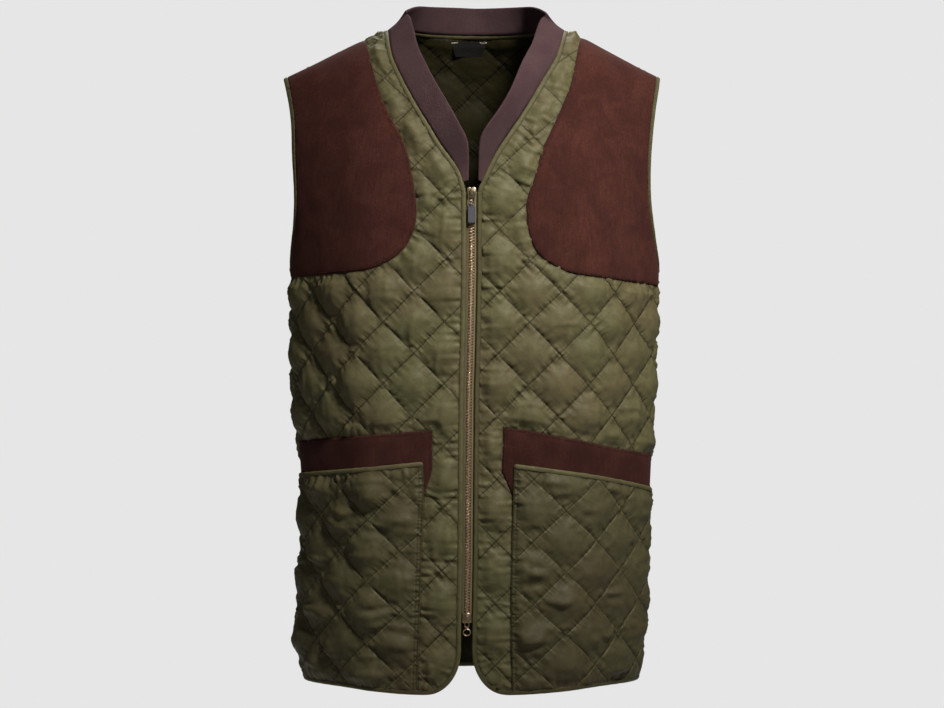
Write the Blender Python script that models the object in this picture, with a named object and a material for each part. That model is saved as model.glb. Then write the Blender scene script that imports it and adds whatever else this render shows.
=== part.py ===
"""A men's quilted shooting gilet, filled out as if worn, with nobody in it.

Metres, +Z up. The origin lies midway between the wearer's shoulders, level with the tops of the
shoulder seams. The front faces -Y, and the wearer's left is at +X.

The cloth lies on one surface for each face of the garment. A place on it is given as a pattern
cutter would: u, the distance over the cloth from the centre line, and v, the height up the cloth.
Below the chest v is the height itself, and above it v is measured up the cloth to the shoulder.
"""

import math

import bmesh
import bpy
import numpy as np
from mathutils import Matrix, Vector
from mathutils.geometry import delaunay_2d_cdt

RIGHT, LEFT = -1, 1

# Sizes of the whole garment
CHEST = -0.300
HEM = -0.7975
HEM_RISE = 0.006
SIDE_Y = -0.004
ZIP_GAP = 0.0130
SEAM = 0.0003
BINDING = 0.0048
OVER = 0.0008
MOUTH_ROLL = 0.0010

# Cloth
WALL = 0.0026
PUFF = 0.0042
SUEDE = 0.0012
POCKET_WALL = 0.0020
KNIT = 0.0030
KNIT_WIDTH = 0.0330
QUILT_WIDE = 0.0725
QUILT_HIGH = 0.0735
POCKET_QUILT_WIDE = 0.0780

# Rings round the body: height, half width at the right and left, centre front x, front y, back y
BODY = (
    (-0.800, 0.1985, 0.1975, -0.0065, -0.116, 0.116),
    (-0.775, 0.2050, 0.2025, -0.0065, -0.117, 0.118),
    (-0.745, 0.2100, 0.2055, -0.0065, -0.118, 0.119),
    (-0.700, 0.2100, 0.2095, -0.0060, -0.119, 0.118),
    (-0.640, 0.2055, 0.2110, -0.0050, -0.119, 0.114),
    (-0.570, 0.2045, 0.2140, -0.0045, -0.119, 0.110),
    (-0.503, 0.2085, 0.2175, -0.0040, -0.119, 0.110),
    (-0.440, 0.2165, 0.2205, -0.0035, -0.120, 0.114),
    (-0.380, 0.2175, 0.2225, -0.0020, -0.121, 0.119),
    (-0.300, 0.2190, 0.2260, -0.0005, -0.121, 0.122),
)
# How a ring turns from the centre line to the side seam: share of the way, degrees turned
FRONT_TURN = ((0.0, 0), (0.30, 4), (0.45, 13), (0.56, 36), (0.84, 48), (0.95, 70), (1.0, 88))
BACK_TURN = ((0.0, 0), (0.30, 10), (0.55, 25), (0.75, 42), (0.90, 66), (1.0, 88))

# The shoulder seams, and where a ring's arc meets them at the neck and at the arm
NECK_X = {RIGHT: 0.103, LEFT: 0.1135}
TIP_X = {RIGHT: 0.230, LEFT: 0.229}
TIP_Z = -0.061
FRONT_RIBS = (0.100, 0.232)
BACK_RIBS = (0.110, 0.242)
THROAT = (0.0, -0.060, -0.025)
NAPE = (0.004, 0.032, 0.022)
RIB_LIFT = 0.52
RIB_REACH = 0.60
RIB_ROUND = 0.014

# Pattern curves as u, v. A v of None is the shoulder seam, a u of None the side seam
FRONT_NECK = {
    RIGHT: (
        (0.0113, -0.2035),
        (0.0190, -0.1800),
        (0.0400, -0.1495),
        (0.0520, -0.1285),
        (0.0705, -0.0950),
        (0.0855, -0.0630),
        (0.0980, -0.0270),
        (0.1045, None),
    ),
    LEFT: (
        (0.0113, -0.2035),
        (0.0175, -0.1900),
        (0.0315, -0.1595),
        (0.0590, -0.1120),
        (0.0800, -0.0670),
        (0.0960, -0.0260),
        (0.1045, None),
    ),
}
BACK_NECK = ((0.0, 0.0085), (0.0350, 0.0100), (0.0700, 0.0165), (0.0980, 0.0300), (0.1145, None))
FRONT_ARM = {
    RIGHT: (
        (None, -0.2915),
        (0.2600, -0.2740),
        (0.2440, -0.2430),
        (0.2345, -0.2080),
        (0.2300, -0.1600),
        (0.2248, -0.1050),
        (0.2275, None),
    ),
    LEFT: (
        (None, -0.2915),
        (0.2600, -0.2720),
        (0.2455, -0.2430),
        (0.2340, -0.2080),
        (0.2280, -0.1600),
        (0.2262, -0.1050),
        (0.2275, None),
    ),
}
BACK_ARM = (
    (None, -0.2915),
    (0.2640, -0.2780),
    (0.2530, -0.2480),
    (0.2430, -0.2080),
    (0.2360, -0.1600),
    (0.2335, -0.1050),
    (0.2375, None),
)
# The suede shoulder patches, from the shoulder seam round to the side seam
PATCH = {
    RIGHT: (
        (0.1310, 0.0350),
        (0.1150, -0.0550),
        (0.0998, -0.1020),
        (0.0794, -0.1440),
        (0.0700, -0.1830),
        (0.0648, -0.2200),
        (0.0665, -0.2440),
        (0.0754, -0.2650),
        (0.0876, -0.2786),
        (0.1000, -0.2860),
        (0.1216, -0.2950),
        (0.1580, -0.2988),
        (0.2760, -0.3025),
    ),
    LEFT: (
        (0.1230, 0.0350),
        (0.1114, -0.0636),
        (0.1016, -0.0968),
        (0.0878, -0.1328),
        (0.0796, -0.1534),
        (0.0718, -0.1876),
        (0.0650, -0.2092),
        (0.0638, -0.2274),
        (0.0672, -0.2530),
        (0.0764, -0.2740),
        (0.0918, -0.2878),
        (0.1148, -0.2988),
        (0.1390, -0.3024),
        (0.2006, -0.3080),
        (0.2820, -0.3130),
    ),
}
# The pockets: the mouth and the trim's top edge run out to the side seam
MOUTH = {
    RIGHT: ((0.0535, -0.5264), (0.1310, -0.5345), (0.2750, -0.5465)),
    LEFT: ((0.0535, -0.5290), (0.1108, -0.5370), (0.1636, -0.5450), (0.2820, -0.5655)),
}
TRIM_TOP = {
    RIGHT: ((0.0426, -0.4846), (0.1114, -0.4902), (0.1966, -0.4966), (0.2800, -0.5030)),
    LEFT: ((0.0408, -0.4806), (0.0800, -0.4868), (0.1262, -0.4960), (0.1838, -0.5070), (0.2860, -0.5200)),
}
POCKET_INNER = {
    RIGHT: ((0.0535, -0.5264), (0.0522, -0.5588), (0.0540, -0.6060), (0.0552, -0.6800), (0.0584, -0.8200)),
    LEFT: ((0.0535, -0.5290), (0.0522, -0.5906), (0.0514, -0.6662), (0.0545, -0.8200)),
}
TRIM_LEG = {RIGHT: (0.0424, -0.5318, -0.5620), LEFT: (0.0392, -0.5328, -0.5640)}
TRIM_UNDER = 0.015

# A crossing of the quilting lines on each piece
QUILT_AT = {
    "front_right": (0.0300, -0.4300),
    "front_left": (0.0333, -0.3950),
    "back": (0.0000, -0.4300),
    "pocket_right": (0.0800, -0.6275),
    "pocket_left": (0.0770, -0.6160),
}
QUILT_CELLS = 3
PLAIN_CELLS = 2
LINING_GRID = 0.054
LINING_MARGIN = 0.012
EDGE_STEP = 0.018
NECK_STEP = 0.011
FORM_STEP = 0.003
FORM_LOW = -0.831
FORM_FROM = -0.015
FORM_TO = 0.300

# Zip: heights, then sizes. Its parts stand on the centre front, in front of it by so much
ZIP_TOP = -0.1985
ZIP_END = -0.7120
SLIDER = 0.0125
SLIDER_HALF = 0.0058
SLIDER_DEEP = 0.0029
SLIDER_BACK = 0.0018
BAIL_HALF = 0.0011
BAIL_OUT = 0.0030
BAIL_THICK = 0.0010
BAIL_FOOT = 0.0004
BAIL_FROM = 0.0012
BAIL_TO = 0.0092
CORNER = 0.0009
WIRE = 0.0006
PIVOT_DOWN = 0.0042
CHAIN_HALF = 0.0032
CHAIN_FRONT = 0.0006
CHAIN_BACK = -0.0032
TAPE_LAP = 0.0028
TAPE = 0.0007
LINK_HALF = (0.0037, 0.0027)
LINK_LONG = 0.0160
TAB_HALF = 0.0043
TAB_LONG = 0.0235
TAB_THICK = 0.0020
TAB_EYE = 0.0017
TAB_BORE = 0.0010
TAB_NECK = 0.0006
EYE_HALF = 0.0024
EYE_LONG = 0.0085
EYE_NECK = 0.0013
RING_HALF = 0.0043
RING_HIGH = 0.0037
RING_DOWN = 0.0148

# The knitted collar: share of the way from the V's point to the back's middle, degrees it stands up
STAND = {
    RIGHT: ((0.0, 8), (0.10, 20), (0.25, 14), (0.42, 10), (0.56, 10), (0.75, 32), (1.0, 46)),
    LEFT: ((0.0, 10), (0.06, 28), (0.14, 40), (0.30, 40), (0.42, 20), (0.56, 2), (0.75, 28), (1.0, 46)),
}
COLLAR_CLEAR = 0.0056
COLLAR_EASE = 6
LABEL_U = (-0.0310, 0.0155)
LABEL_TAPER = 0.004
LABEL_HIGH = 0.020
LABEL = 0.0006

COLOURS = {
    "olive": ((0.105, 0.092, 0.052, 1), 0.45, 0.0),
    "binding": ((0.110, 0.096, 0.050, 1), 0.55, 0.0),
    "suede": ((0.045, 0.019, 0.016, 1), 0.95, 0.0),
    "knit": ((0.085, 0.051, 0.055, 1), 0.90, 0.0),
    "tape": ((0.130, 0.095, 0.060, 1), 0.85, 0.0),
    "brass": ((0.420, 0.260, 0.160, 1), 0.35, 1.0),
    "tab": ((0.090, 0.088, 0.100, 1), 0.40, 0.0),
    "label": ((0.020, 0.022, 0.018, 1), 0.80, 0.0),
}


def through(rows, column, at):
    """A smooth curve through one column of a table, worked out at the values asked for."""
    x = np.array([row[0] for row in rows])
    y = np.array([row[column] for row in rows])
    slope = np.gradient(y, x)
    i = np.clip(np.searchsorted(x, at) - 1, 0, len(x) - 2)
    h = x[i + 1] - x[i]
    t = np.clip((at - x[i]) / h, 0, 1)
    start = y[i] * (1 + 2 * t) * (1 - t) ** 2 + slope[i] * h * t * (1 - t) ** 2
    end = y[i + 1] * t * t * (3 - 2 * t) + slope[i + 1] * h * t * t * (t - 1)
    beyond = (at - np.clip(at, x[0], x[-1])) * np.where(at < x[0], slope[0], slope[-1])
    return start + end + beyond


def quarter(turn, width, depth):
    """A quarter of a ring, from the centre line to the side seam: arc length, x and y."""
    share = np.linspace(0, 1, 201)
    angle = np.radians(np.interp(share, *zip(*turn)))
    middle = (angle[1:] + angle[:-1]) / 2
    x = np.concatenate([[0], np.cumsum(np.cos(middle))])
    y = np.concatenate([[0], np.cumsum(np.sin(middle))])
    x *= width / x[-1]
    y *= depth / y[-1]
    arc = np.concatenate([[0], np.cumsum(np.hypot(np.diff(x), np.diff(y)))])
    return arc, x, y


class Cloth:
    """The surface that one face's cloth lies on, on one side of the body."""

    def __init__(self, face, side):
        self.side = side
        self.facing = -1 if face == "front" else 1
        self.turn = FRONT_TURN if face == "front" else BACK_TURN
        self.ribs = FRONT_RIBS if face == "front" else BACK_RIBS
        self.centre = THROAT if face == "front" else NAPE
        self.u = np.arange(FORM_FROM, FORM_TO, FORM_STEP)
        low = np.arange(FORM_LOW, CHEST - FORM_STEP / 2, FORM_STEP)
        rings = [self.ring(z) for z in low]
        high = self.rise(*self.ring(CHEST)[:1])
        self.points = np.concatenate([np.array([ring for ring, _ in rings]), high])
        self.seam_v = np.append(low, CHEST)
        self.seam_u = np.array([q for _, q in rings] + [self.ring(CHEST)[1]])
        across = np.gradient(self.points, axis=1)
        up = np.gradient(self.points, axis=0)
        normals = np.cross(across, up) * -self.facing * self.side
        self.normals = normals / np.linalg.norm(normals, axis=2, keepdims=True)

    def ring(self, z):
        """The ring's points at one height, and the arc at which it meets the side seam."""
        right, left, middle, front, back = (float(through(BODY, k, z)) for k in range(1, 6))
        cx = middle if self.facing < 0 else 0.0
        width = left - cx if self.side == LEFT else right + cx
        near = front if self.facing < 0 else back
        arc, x, y = quarter(self.turn, width, abs(SIDE_Y - near))
        x = np.interp(self.u, arc, x) + np.clip(self.u, None, 0)
        y = np.interp(self.u, arc, y) + np.clip(self.u - arc[-1], 0, None)
        ring = np.stack([cx + self.side * x, near - self.facing * y, np.full_like(x, z)], 1)
        return ring, arc[-1]

    def tops(self):
        """Where each rib ends: on the line of the shoulder seam, carried on across the neck."""
        first, last = self.ribs
        centre = np.array(self.centre)
        neck = np.array([self.side * NECK_X[self.side], 0, 0])
        tip = np.array([self.side * TIP_X[self.side], 0, TIP_Z])
        along = (tip - neck) / (last - first)
        out = np.array([self.side, 0, 0])
        t = np.clip(self.u / first, 0, 1)[:, None]
        inner = (1 + 2 * t) * (1 - t) ** 2 * centre + t * t * (3 - 2 * t) * neck
        inner += t * (1 - t) ** 2 * first * out + t * t * (t - 1) * first * along
        inner += np.clip(self.u, None, 0)[:, None] * out
        outer = neck + along * (self.u - first)[:, None]
        return np.where((self.u >= first)[:, None], outer, inner)

    def rise(self, start):
        """Ribs from the chest ring up and over to the shoulder, spaced by their length."""
        end = self.tops()
        lift = RIB_LIFT * (end[:, 2] - start[:, 2])
        reach = RIB_ROUND + RIB_REACH * np.abs(end[:, 1] - start[:, 1])
        first = start + np.array([0, 0, 1]) * lift[:, None]
        second = end + np.array([0, self.facing, 0]) * reach[:, None]
        t = np.linspace(0, 1, 81)[:, None, None]
        rib = (1 - t) ** 3 * start + 3 * t * (1 - t) ** 2 * first
        rib = rib + 3 * t * t * (1 - t) * second + t**3 * end
        step = np.linalg.norm(np.diff(rib, axis=0), axis=2)
        arc = np.concatenate([np.zeros((1, len(self.u))), np.cumsum(step, axis=0)])
        self.top_v = CHEST + arc[-1]
        height = np.arange(0, arc[-1].max() + 5 * FORM_STEP, FORM_STEP)
        block = np.empty((len(height), len(self.u), 3))
        for j in range(len(self.u)):
            over = np.clip(height - arc[-1, j], 0, None)[:, None]
            last = (rib[-1, j] - rib[-2, j]) / step[-1, j]
            for k in range(3):
                block[:, j, k] = np.interp(height, arc[:, j], rib[:, j, k])
            block[:, j] += over * last
        return block

    def top(self, u):
        return np.interp(np.abs(u), self.u, self.top_v)

    def seam(self, v):
        return np.interp(v, self.seam_v, self.seam_u)

    def sample(self, grid, u, v):
        rows, columns = grid.shape[:2]
        i = np.clip((v - FORM_LOW) / FORM_STEP, 0, rows - 1.001)
        j = np.clip((u - FORM_FROM) / FORM_STEP, 0, columns - 1.001)
        i0, j0 = i.astype(int), j.astype(int)
        a, b = (i - i0)[:, None], (j - j0)[:, None]
        low = grid[i0, j0] * (1 - b) + grid[i0, j0 + 1] * b
        high = grid[i0 + 1, j0] * (1 - b) + grid[i0 + 1, j0 + 1] * b
        return low * (1 - a) + high * a

    def at(self, uv, out=0.0):
        """Points at u, v, moved out from the surface by so much."""
        uv = np.atleast_2d(uv)
        normal = self.sample(self.normals, uv[:, 0], uv[:, 1])
        normal /= np.linalg.norm(normal, axis=1, keepdims=True)
        out = np.broadcast_to(np.asarray(out, float), len(uv))
        return self.sample(self.points, uv[:, 0], uv[:, 1]) + normal * out[:, None]


class Back:
    """Both sides of the back as one surface, with u to the wearer's left."""

    def __init__(self):
        self.half = {side: Cloth("back", side) for side in (RIGHT, LEFT)}

    def at(self, uv, out=0.0):
        uv = np.atleast_2d(uv)
        out = np.broadcast_to(np.asarray(out, float), len(uv))
        points = np.empty((len(uv), 3))
        for side, cloth in self.half.items():
            here = (uv[:, 0] >= 0) == (side == LEFT)
            points[here] = cloth.at(np.stack([np.abs(uv[here, 0]), uv[here, 1]], 1), out[here])
        return points


FRONT = {side: Cloth("front", side) for side in (RIGHT, LEFT)}
BACK = Back()
SIDE_NAME = {RIGHT: "right", LEFT: "left"}


# Plane geometry of the pattern pieces


def smooth(points, step):
    """Points about one step apart on a smooth curve through the points given."""
    p = np.array(points, float)
    p = np.vstack([2 * p[0] - p[1], p, 2 * p[-1] - p[-2]])
    fine = []
    for i in range(1, len(p) - 2):
        before, after = p[i + 1] - p[i - 1], p[i + 2] - p[i]
        here = np.linalg.norm(p[i + 1] - p[i])
        before = before * here / (np.linalg.norm(p[i] - p[i - 1]) + here)
        after = after * here / (np.linalg.norm(p[i + 2] - p[i + 1]) + here)
        t = np.linspace(0, 1, 17)[:-1, None]
        curve = (1 + 2 * t) * (1 - t) ** 2 * p[i] + t * t * (3 - 2 * t) * p[i + 1]
        fine.append(curve + t * (1 - t) ** 2 * before + t * t * (t - 1) * after)
    return spaced(np.vstack(fine + [p[-2:-1]]), step)


def spaced(line, step):
    """The same line with its points evenly spaced, about one step apart."""
    line = np.asarray(line, float)
    arc = np.concatenate([[0], np.cumsum(np.linalg.norm(np.diff(line, axis=0), axis=1))])
    count = max(1, round(arc[-1] / step))
    at = np.linspace(0, arc[-1], count + 1)
    return np.stack([np.interp(at, arc, line[:, k]) for k in range(line.shape[1])], 1)


def joined(*runs):
    """One closed outline from runs that follow on from each other."""
    points = []
    for run in runs:
        for point in run:
            if not points or np.linalg.norm(point - points[-1]) > EDGE_STEP / 30:
                points.append(point)
    if np.linalg.norm(points[0] - points[-1]) < EDGE_STEP / 30:
        points.pop()
    return np.array(points)


def inside(polygon, points):
    """Which points lie inside a polygon."""
    found = np.zeros(len(points), bool)
    for a, b in zip(polygon, np.roll(polygon, -1, axis=0)):
        crosses = (a[1] > points[:, 1]) != (b[1] > points[:, 1])
        if crosses.any():
            x = a[0] + (points[:, 1] - a[1]) * (b[0] - a[0]) / (b[1] - a[1] or 1)
            found ^= crosses & (points[:, 0] < x)
    return found


def distance(line, points):
    """How far each point lies from a line of straight runs."""
    nearest = np.full(len(points), np.inf)
    for a, b in zip(line[:-1], line[1:]):
        run = b - a
        t = np.clip((points - a) @ run / max(run @ run, 1e-12), 0, 1)
        nearest = np.minimum(nearest, np.linalg.norm(points - a - t[:, None] * run, axis=1))
    return nearest


def closed(outline):
    return np.vstack([outline, outline[:1]])


class Quilting:
    """Diamond quilting: its two sets of lines cross at one named place."""

    def __init__(self, at, wide=QUILT_WIDE, high=QUILT_HIGH):
        self.at, self.wide, self.high = np.array(at), wide, high

    def raised(self, uv):
        """From 0 on a quilting line to 1 at a diamond's middle."""
        du, dv = ((uv - self.at) / (self.wide, self.high)).T
        dome = np.sin(np.pi * (du + dv)) * np.sin(np.pi * (du - dv))
        return np.abs(dome) ** 0.6

    def points(self, outline, cells):
        """The points of a grid that follows the quilting lines, so many cells to a diamond."""
        low, high = outline.min(axis=0), outline.max(axis=0)
        reach = int(2.2 * cells * max((high - low) / (self.wide, self.high))) + cells
        a, b = np.meshgrid(np.arange(-reach, reach + 1), np.arange(-reach, reach + 1))
        a, b = a.ravel() / cells, b.ravel() / cells
        middle = (low + high) / 2 - self.at
        shift = np.round([middle[0] / self.wide + middle[1] / self.high,
                          middle[0] / self.wide - middle[1] / self.high])
        a, b = a + shift[0], b + shift[1]
        uv = self.at + np.stack([(a + b) / 2 * self.wide, (a - b) / 2 * self.high], 1)
        return uv[((uv > low) & (uv < high)).all(axis=1)]


class Piece:
    """A flat pattern piece cut into triangles whose edges follow its lines."""

    def __init__(self, outline, lines=(), dots=(), margin=0.0055):
        outline = np.asarray(outline)
        dots = np.asarray(dots).reshape(-1, 2)
        walls = [closed(outline), *lines]
        dots = dots[inside(outline, dots)]
        for wall in walls:
            dots = dots[distance(wall, dots) > margin]
        points = [outline, *lines, dots]
        edges, start = [], len(outline)
        for line in lines:
            edges += [(start + k, start + k + 1) for k in range(len(line) - 1)]
            start += len(line)
        flat = [Vector((float(u) * 1000, float(v) * 1000)) for u, v in np.vstack(points)]
        made = delaunay_2d_cdt(flat, edges, [list(range(len(outline)))], 1, 1e-4, False)
        self.uv = np.array([tuple(point) for point in made[0]]) / 1000
        faces = np.array([face for face in made[2]])
        a, b, c = (self.uv[faces[:, k]] for k in range(3))
        area = (b[:, 0] - a[:, 0]) * (c[:, 1] - a[:, 1]) - (b[:, 1] - a[:, 1]) * (c[:, 0] - a[:, 0])
        faces[area < 0] = faces[area < 0][:, ::-1]
        self.faces = faces[np.abs(area) > 1e-12]
        middle = self.uv[self.faces].mean(axis=1)
        self.faces = self.faces[inside(outline, middle)]
        self.wall = walls[0]

    def part(self, polygon):
        """The triangles inside a polygon, as a piece of their own."""
        other = object.__new__(Piece)
        middle = self.uv[self.faces].mean(axis=1)
        faces = self.faces[inside(polygon, middle)]
        used, index = np.unique(faces, return_inverse=True)
        other.uv = self.uv[used]
        other.faces = index.reshape(-1, 3)
        return other

    def rim(self):
        """The outline's edges, each with the cloth on its left."""
        edges = np.concatenate([self.faces[:, [0, 1]], self.faces[:, [1, 2]], self.faces[:, [2, 0]]])
        have = {(int(a), int(b)) for a, b in edges}
        return [(a, b) for a, b in have if (b, a) not in have]

    def loop(self):
        """The outline as a ring of points, in order."""
        after = dict(self.rim())
        start = next(iter(after))
        ring, here = [start], after[start]
        while here != start:
            ring.append(here)
            here = after[here]
        return self.uv[ring]


# Solids


def material(name):
    colour, roughness, metallic = COLOURS[name]
    made = bpy.data.materials.get(name) or bpy.data.materials.new(name)
    made.use_nodes = True
    shader = made.node_tree.nodes["Principled BSDF"]
    shader.inputs["Base Color"].default_value = colour
    shader.inputs["Roughness"].default_value = roughness
    shader.inputs["Metallic"].default_value = metallic
    return made


def add(name, points, faces, finish):
    """A named object from points and faces, facing outwards."""
    mesh = bpy.data.meshes.new(name)
    mesh.from_pydata([tuple(p) for p in points], [], [tuple(int(k) for k in f) for f in faces])
    work = bmesh.new()
    work.from_mesh(mesh)
    bmesh.ops.recalc_face_normals(work, faces=work.faces)
    work.to_mesh(mesh)
    work.free()
    mesh.shade_smooth()
    mesh.materials.append(material(finish))
    obj = bpy.data.objects.new(name, mesh)
    GARMENT.objects.link(obj)
    return obj


def wall(name, cloth, outer, outer_out, inner, inner_out, finish):
    """Cloth between two faces that share an outline, moved out from the surface by so much."""
    top = cloth.at(outer.uv, outer_out)
    bottom = cloth.at(inner.uv, inner_out)
    key = {tuple(np.round(p, 6)): k for k, p in enumerate(inner.uv)}
    below = {a: key[tuple(np.round(outer.uv[a], 6))] + len(top) for a, _ in outer.rim()}
    faces = [tuple(face) for face in outer.faces]
    faces += [tuple(face[::-1] + len(top)) for face in inner.faces]
    for a, b in outer.rim():
        faces += [(b, a, below[a]), (b, below[a], below[b])]
    return add(name, np.vstack([top, bottom]), faces, finish)


def strip(name, rings, finish, ring_closed=False):
    """A solid through rings of equally many points: a loop, or a run with its two ends closed."""
    rings = np.asarray(rings)
    count, around = rings.shape[:2]
    faces = []
    for i in range(count if ring_closed else count - 1):
        for k in range(around):
            a, b = i * around + k, i * around + (k + 1) % around
            c, d = (i + 1) % count * around + k, (i + 1) % count * around + (k + 1) % around
            faces += [(a, b, d), (a, d, c)]
    if not ring_closed:
        faces += [tuple(range(around))[::-1], tuple((count - 1) * around + k for k in range(around))]
    return add(name, rings.reshape(-1, 3), faces, finish)


# A binding's section: share of its width out from the cloth's edge, share of its half thickness
BEAD = ((0.0, 0.85), (0.5, 1.0), (1.0, 0.5), (1.0, -0.5), (0.5, -1.0), (0.0, -0.85))


def bead_rings(cloth, line, low, high, side, width=BINDING):
    """Sections of a binding along a cloth's edge, on the given side of the line."""
    line = np.asarray(line)
    ahead = np.gradient(line, axis=0)
    ahead /= np.linalg.norm(ahead, axis=1, keepdims=True)
    out = np.stack([ahead[:, 1], -ahead[:, 0]], 1) * side
    low = np.broadcast_to(np.asarray(low, float), len(line))
    high = np.broadcast_to(np.asarray(high, float), len(line))
    rings = []
    for share, thick in BEAD:
        away = SEAM + share * (width - SEAM)
        height = (high + low) / 2 + thick * (high - low) / 2
        rings.append(cloth.at(line + out * away, height))
    return np.stack(rings, axis=1)


def to_seam(cloth, u, v):
    """A place on a pattern curve, with its u or v read off the side or shoulder seam if it is None."""
    if u is None:
        return cloth.seam(v) - SEAM / 2, v
    return u, cloth.top(u) - SEAM / 2 if v is None else v


def side_seam(cloth, top):
    """The cloth's edge along the side seam, with its points level with the other face's."""
    v = np.linspace(HEM + BINDING + HEM_RISE, top, 29)
    return np.stack([cloth.seam(v) - SEAM / 2, v], 1)


def shoulder_seam(cloth, arm, neck):
    """The cloth's edge along the shoulder seam, from the arm to the neck."""
    u = np.linspace(arm, neck, 9)
    return np.stack([u, cloth.top(u) - SEAM / 2], 1)


def front_outline(side):
    """The runs of a front's edge, each in the direction that keeps the cloth on its left."""
    cloth = FRONT[side]
    hem = HEM + BINDING
    inset = ZIP_GAP / 2 + BINDING
    round_u, round_v = 0.041 - BINDING, 0.053 - BINDING
    turn = np.linspace(0, np.pi / 2, 7)
    corner = np.stack([inset + round_u * (1 - np.cos(turn)), hem + round_v * (1 - np.sin(turn))], 1)
    seam = cloth.seam(hem + HEM_RISE) - SEAM / 2
    u = np.linspace(corner[-1, 0], seam, 60)
    share = (u - u[0]) / (u[-1] - u[0])
    rise = HEM_RISE * np.clip(share / 0.6, 0, 1) ** 2 * (3 - 2 * np.clip(share / 0.6, 0, 1))
    neck = [to_seam(cloth, *place) for place in FRONT_NECK[side]]
    arm = [to_seam(cloth, *place) for place in FRONT_ARM[side]]
    return {
        "zip": spaced([neck[0], corner[0]], EDGE_STEP),
        "corner": corner,
        "hem": spaced(np.stack([u, hem + rise], 1), EDGE_STEP),
        "side": side_seam(cloth, arm[0][1]),
        "arm": smooth(arm, EDGE_STEP),
        "shoulder": shoulder_seam(cloth, arm[-1][0], neck[-1][0]),
        "neck": smooth(neck[::-1], NECK_STEP),
    }


def back_outline():
    """The runs of the back's edge, anticlockwise in u and v, from the hem's right end."""
    hem = HEM + BINDING + HEM_RISE

    def half(side):
        cloth = BACK.half[side]
        arm = [to_seam(cloth, *place) for place in BACK_ARM]
        neck = [to_seam(cloth, *place) for place in BACK_NECK]
        runs = {
            "side": side_seam(cloth, arm[0][1]),
            "arm": smooth(arm, EDGE_STEP),
            "shoulder": shoulder_seam(cloth, arm[-1][0], neck[-1][0]),
        }
        return {name: run * (side, 1) for name, run in runs.items()}, np.array(neck) * (side, 1)

    right, right_neck = half(RIGHT)
    left, left_neck = half(LEFT)
    ends = BACK.half[RIGHT].seam(hem) - SEAM / 2, BACK.half[LEFT].seam(hem) - SEAM / 2
    return {
        "hem": spaced([(-ends[0], hem), (ends[1], hem)], EDGE_STEP),
        "side_left": left["side"],
        "arm_left": left["arm"],
        "shoulder_left": left["shoulder"],
        "neck": smooth(np.vstack([left_neck[::-1], right_neck[1:]]), NECK_STEP),
        "shoulder_right": right["shoulder"][::-1],
        "arm_right": right["arm"][::-1],
        "side_right": right["side"][::-1],
    }


FRONT_EDGE = {side: front_outline(side) for side in (RIGHT, LEFT)}
BACK_EDGE = back_outline()
FLAT = WALL / 2


def polygon(line, *corners):
    return np.vstack([line, *[np.atleast_2d(corner) for corner in corners]])


def pocket_lines(side):
    """The pocket's and the trim's outlines: as cut lines on the front, and as closed shapes."""
    outline = joined(*FRONT_EDGE[side].values())
    mouth = smooth(MOUTH[side], EDGE_STEP)
    inner = smooth(POCKET_INNER[side], EDGE_STEP)
    top = smooth(TRIM_TOP[side], EDGE_STEP)
    leg_u, leg_v, leg_end = TRIM_LEG[side]
    meets = np.array([np.interp(-leg_end, -inner[:, 1], inner[:, 0]), leg_end])
    turn = (leg_u, leg_v)
    leg = np.vstack([spaced([top[0], turn], EDGE_STEP), spaced([turn, meets], EDGE_STEP)[1:]])
    under = mouth - (0, TRIM_UNDER)
    under = under[under[:, 0] > inner[0, 0] + 0.016]
    hidden = np.vstack([meets, meets + (0.012, 0.004), under])
    trim = np.vstack([top[::-1], leg[1:], hidden[1:]])
    pocket = np.vstack([mouth[::-1], inner[1:], [(0.35, -0.82)]])
    return outline, mouth, inner, top, leg, hidden, trim, pocket


def lifted(trim, uv):
    """How far the pocket stands off the front: clear of the trim, then down to the front."""
    away = np.where(inside(trim, uv), 0, distance(closed(trim), uv))
    share = np.clip((away - 0.002) / 0.030, 0, 1)
    return SEAM + (SUEDE + SEAM) * (1 - share * share * (3 - 2 * share))


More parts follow.
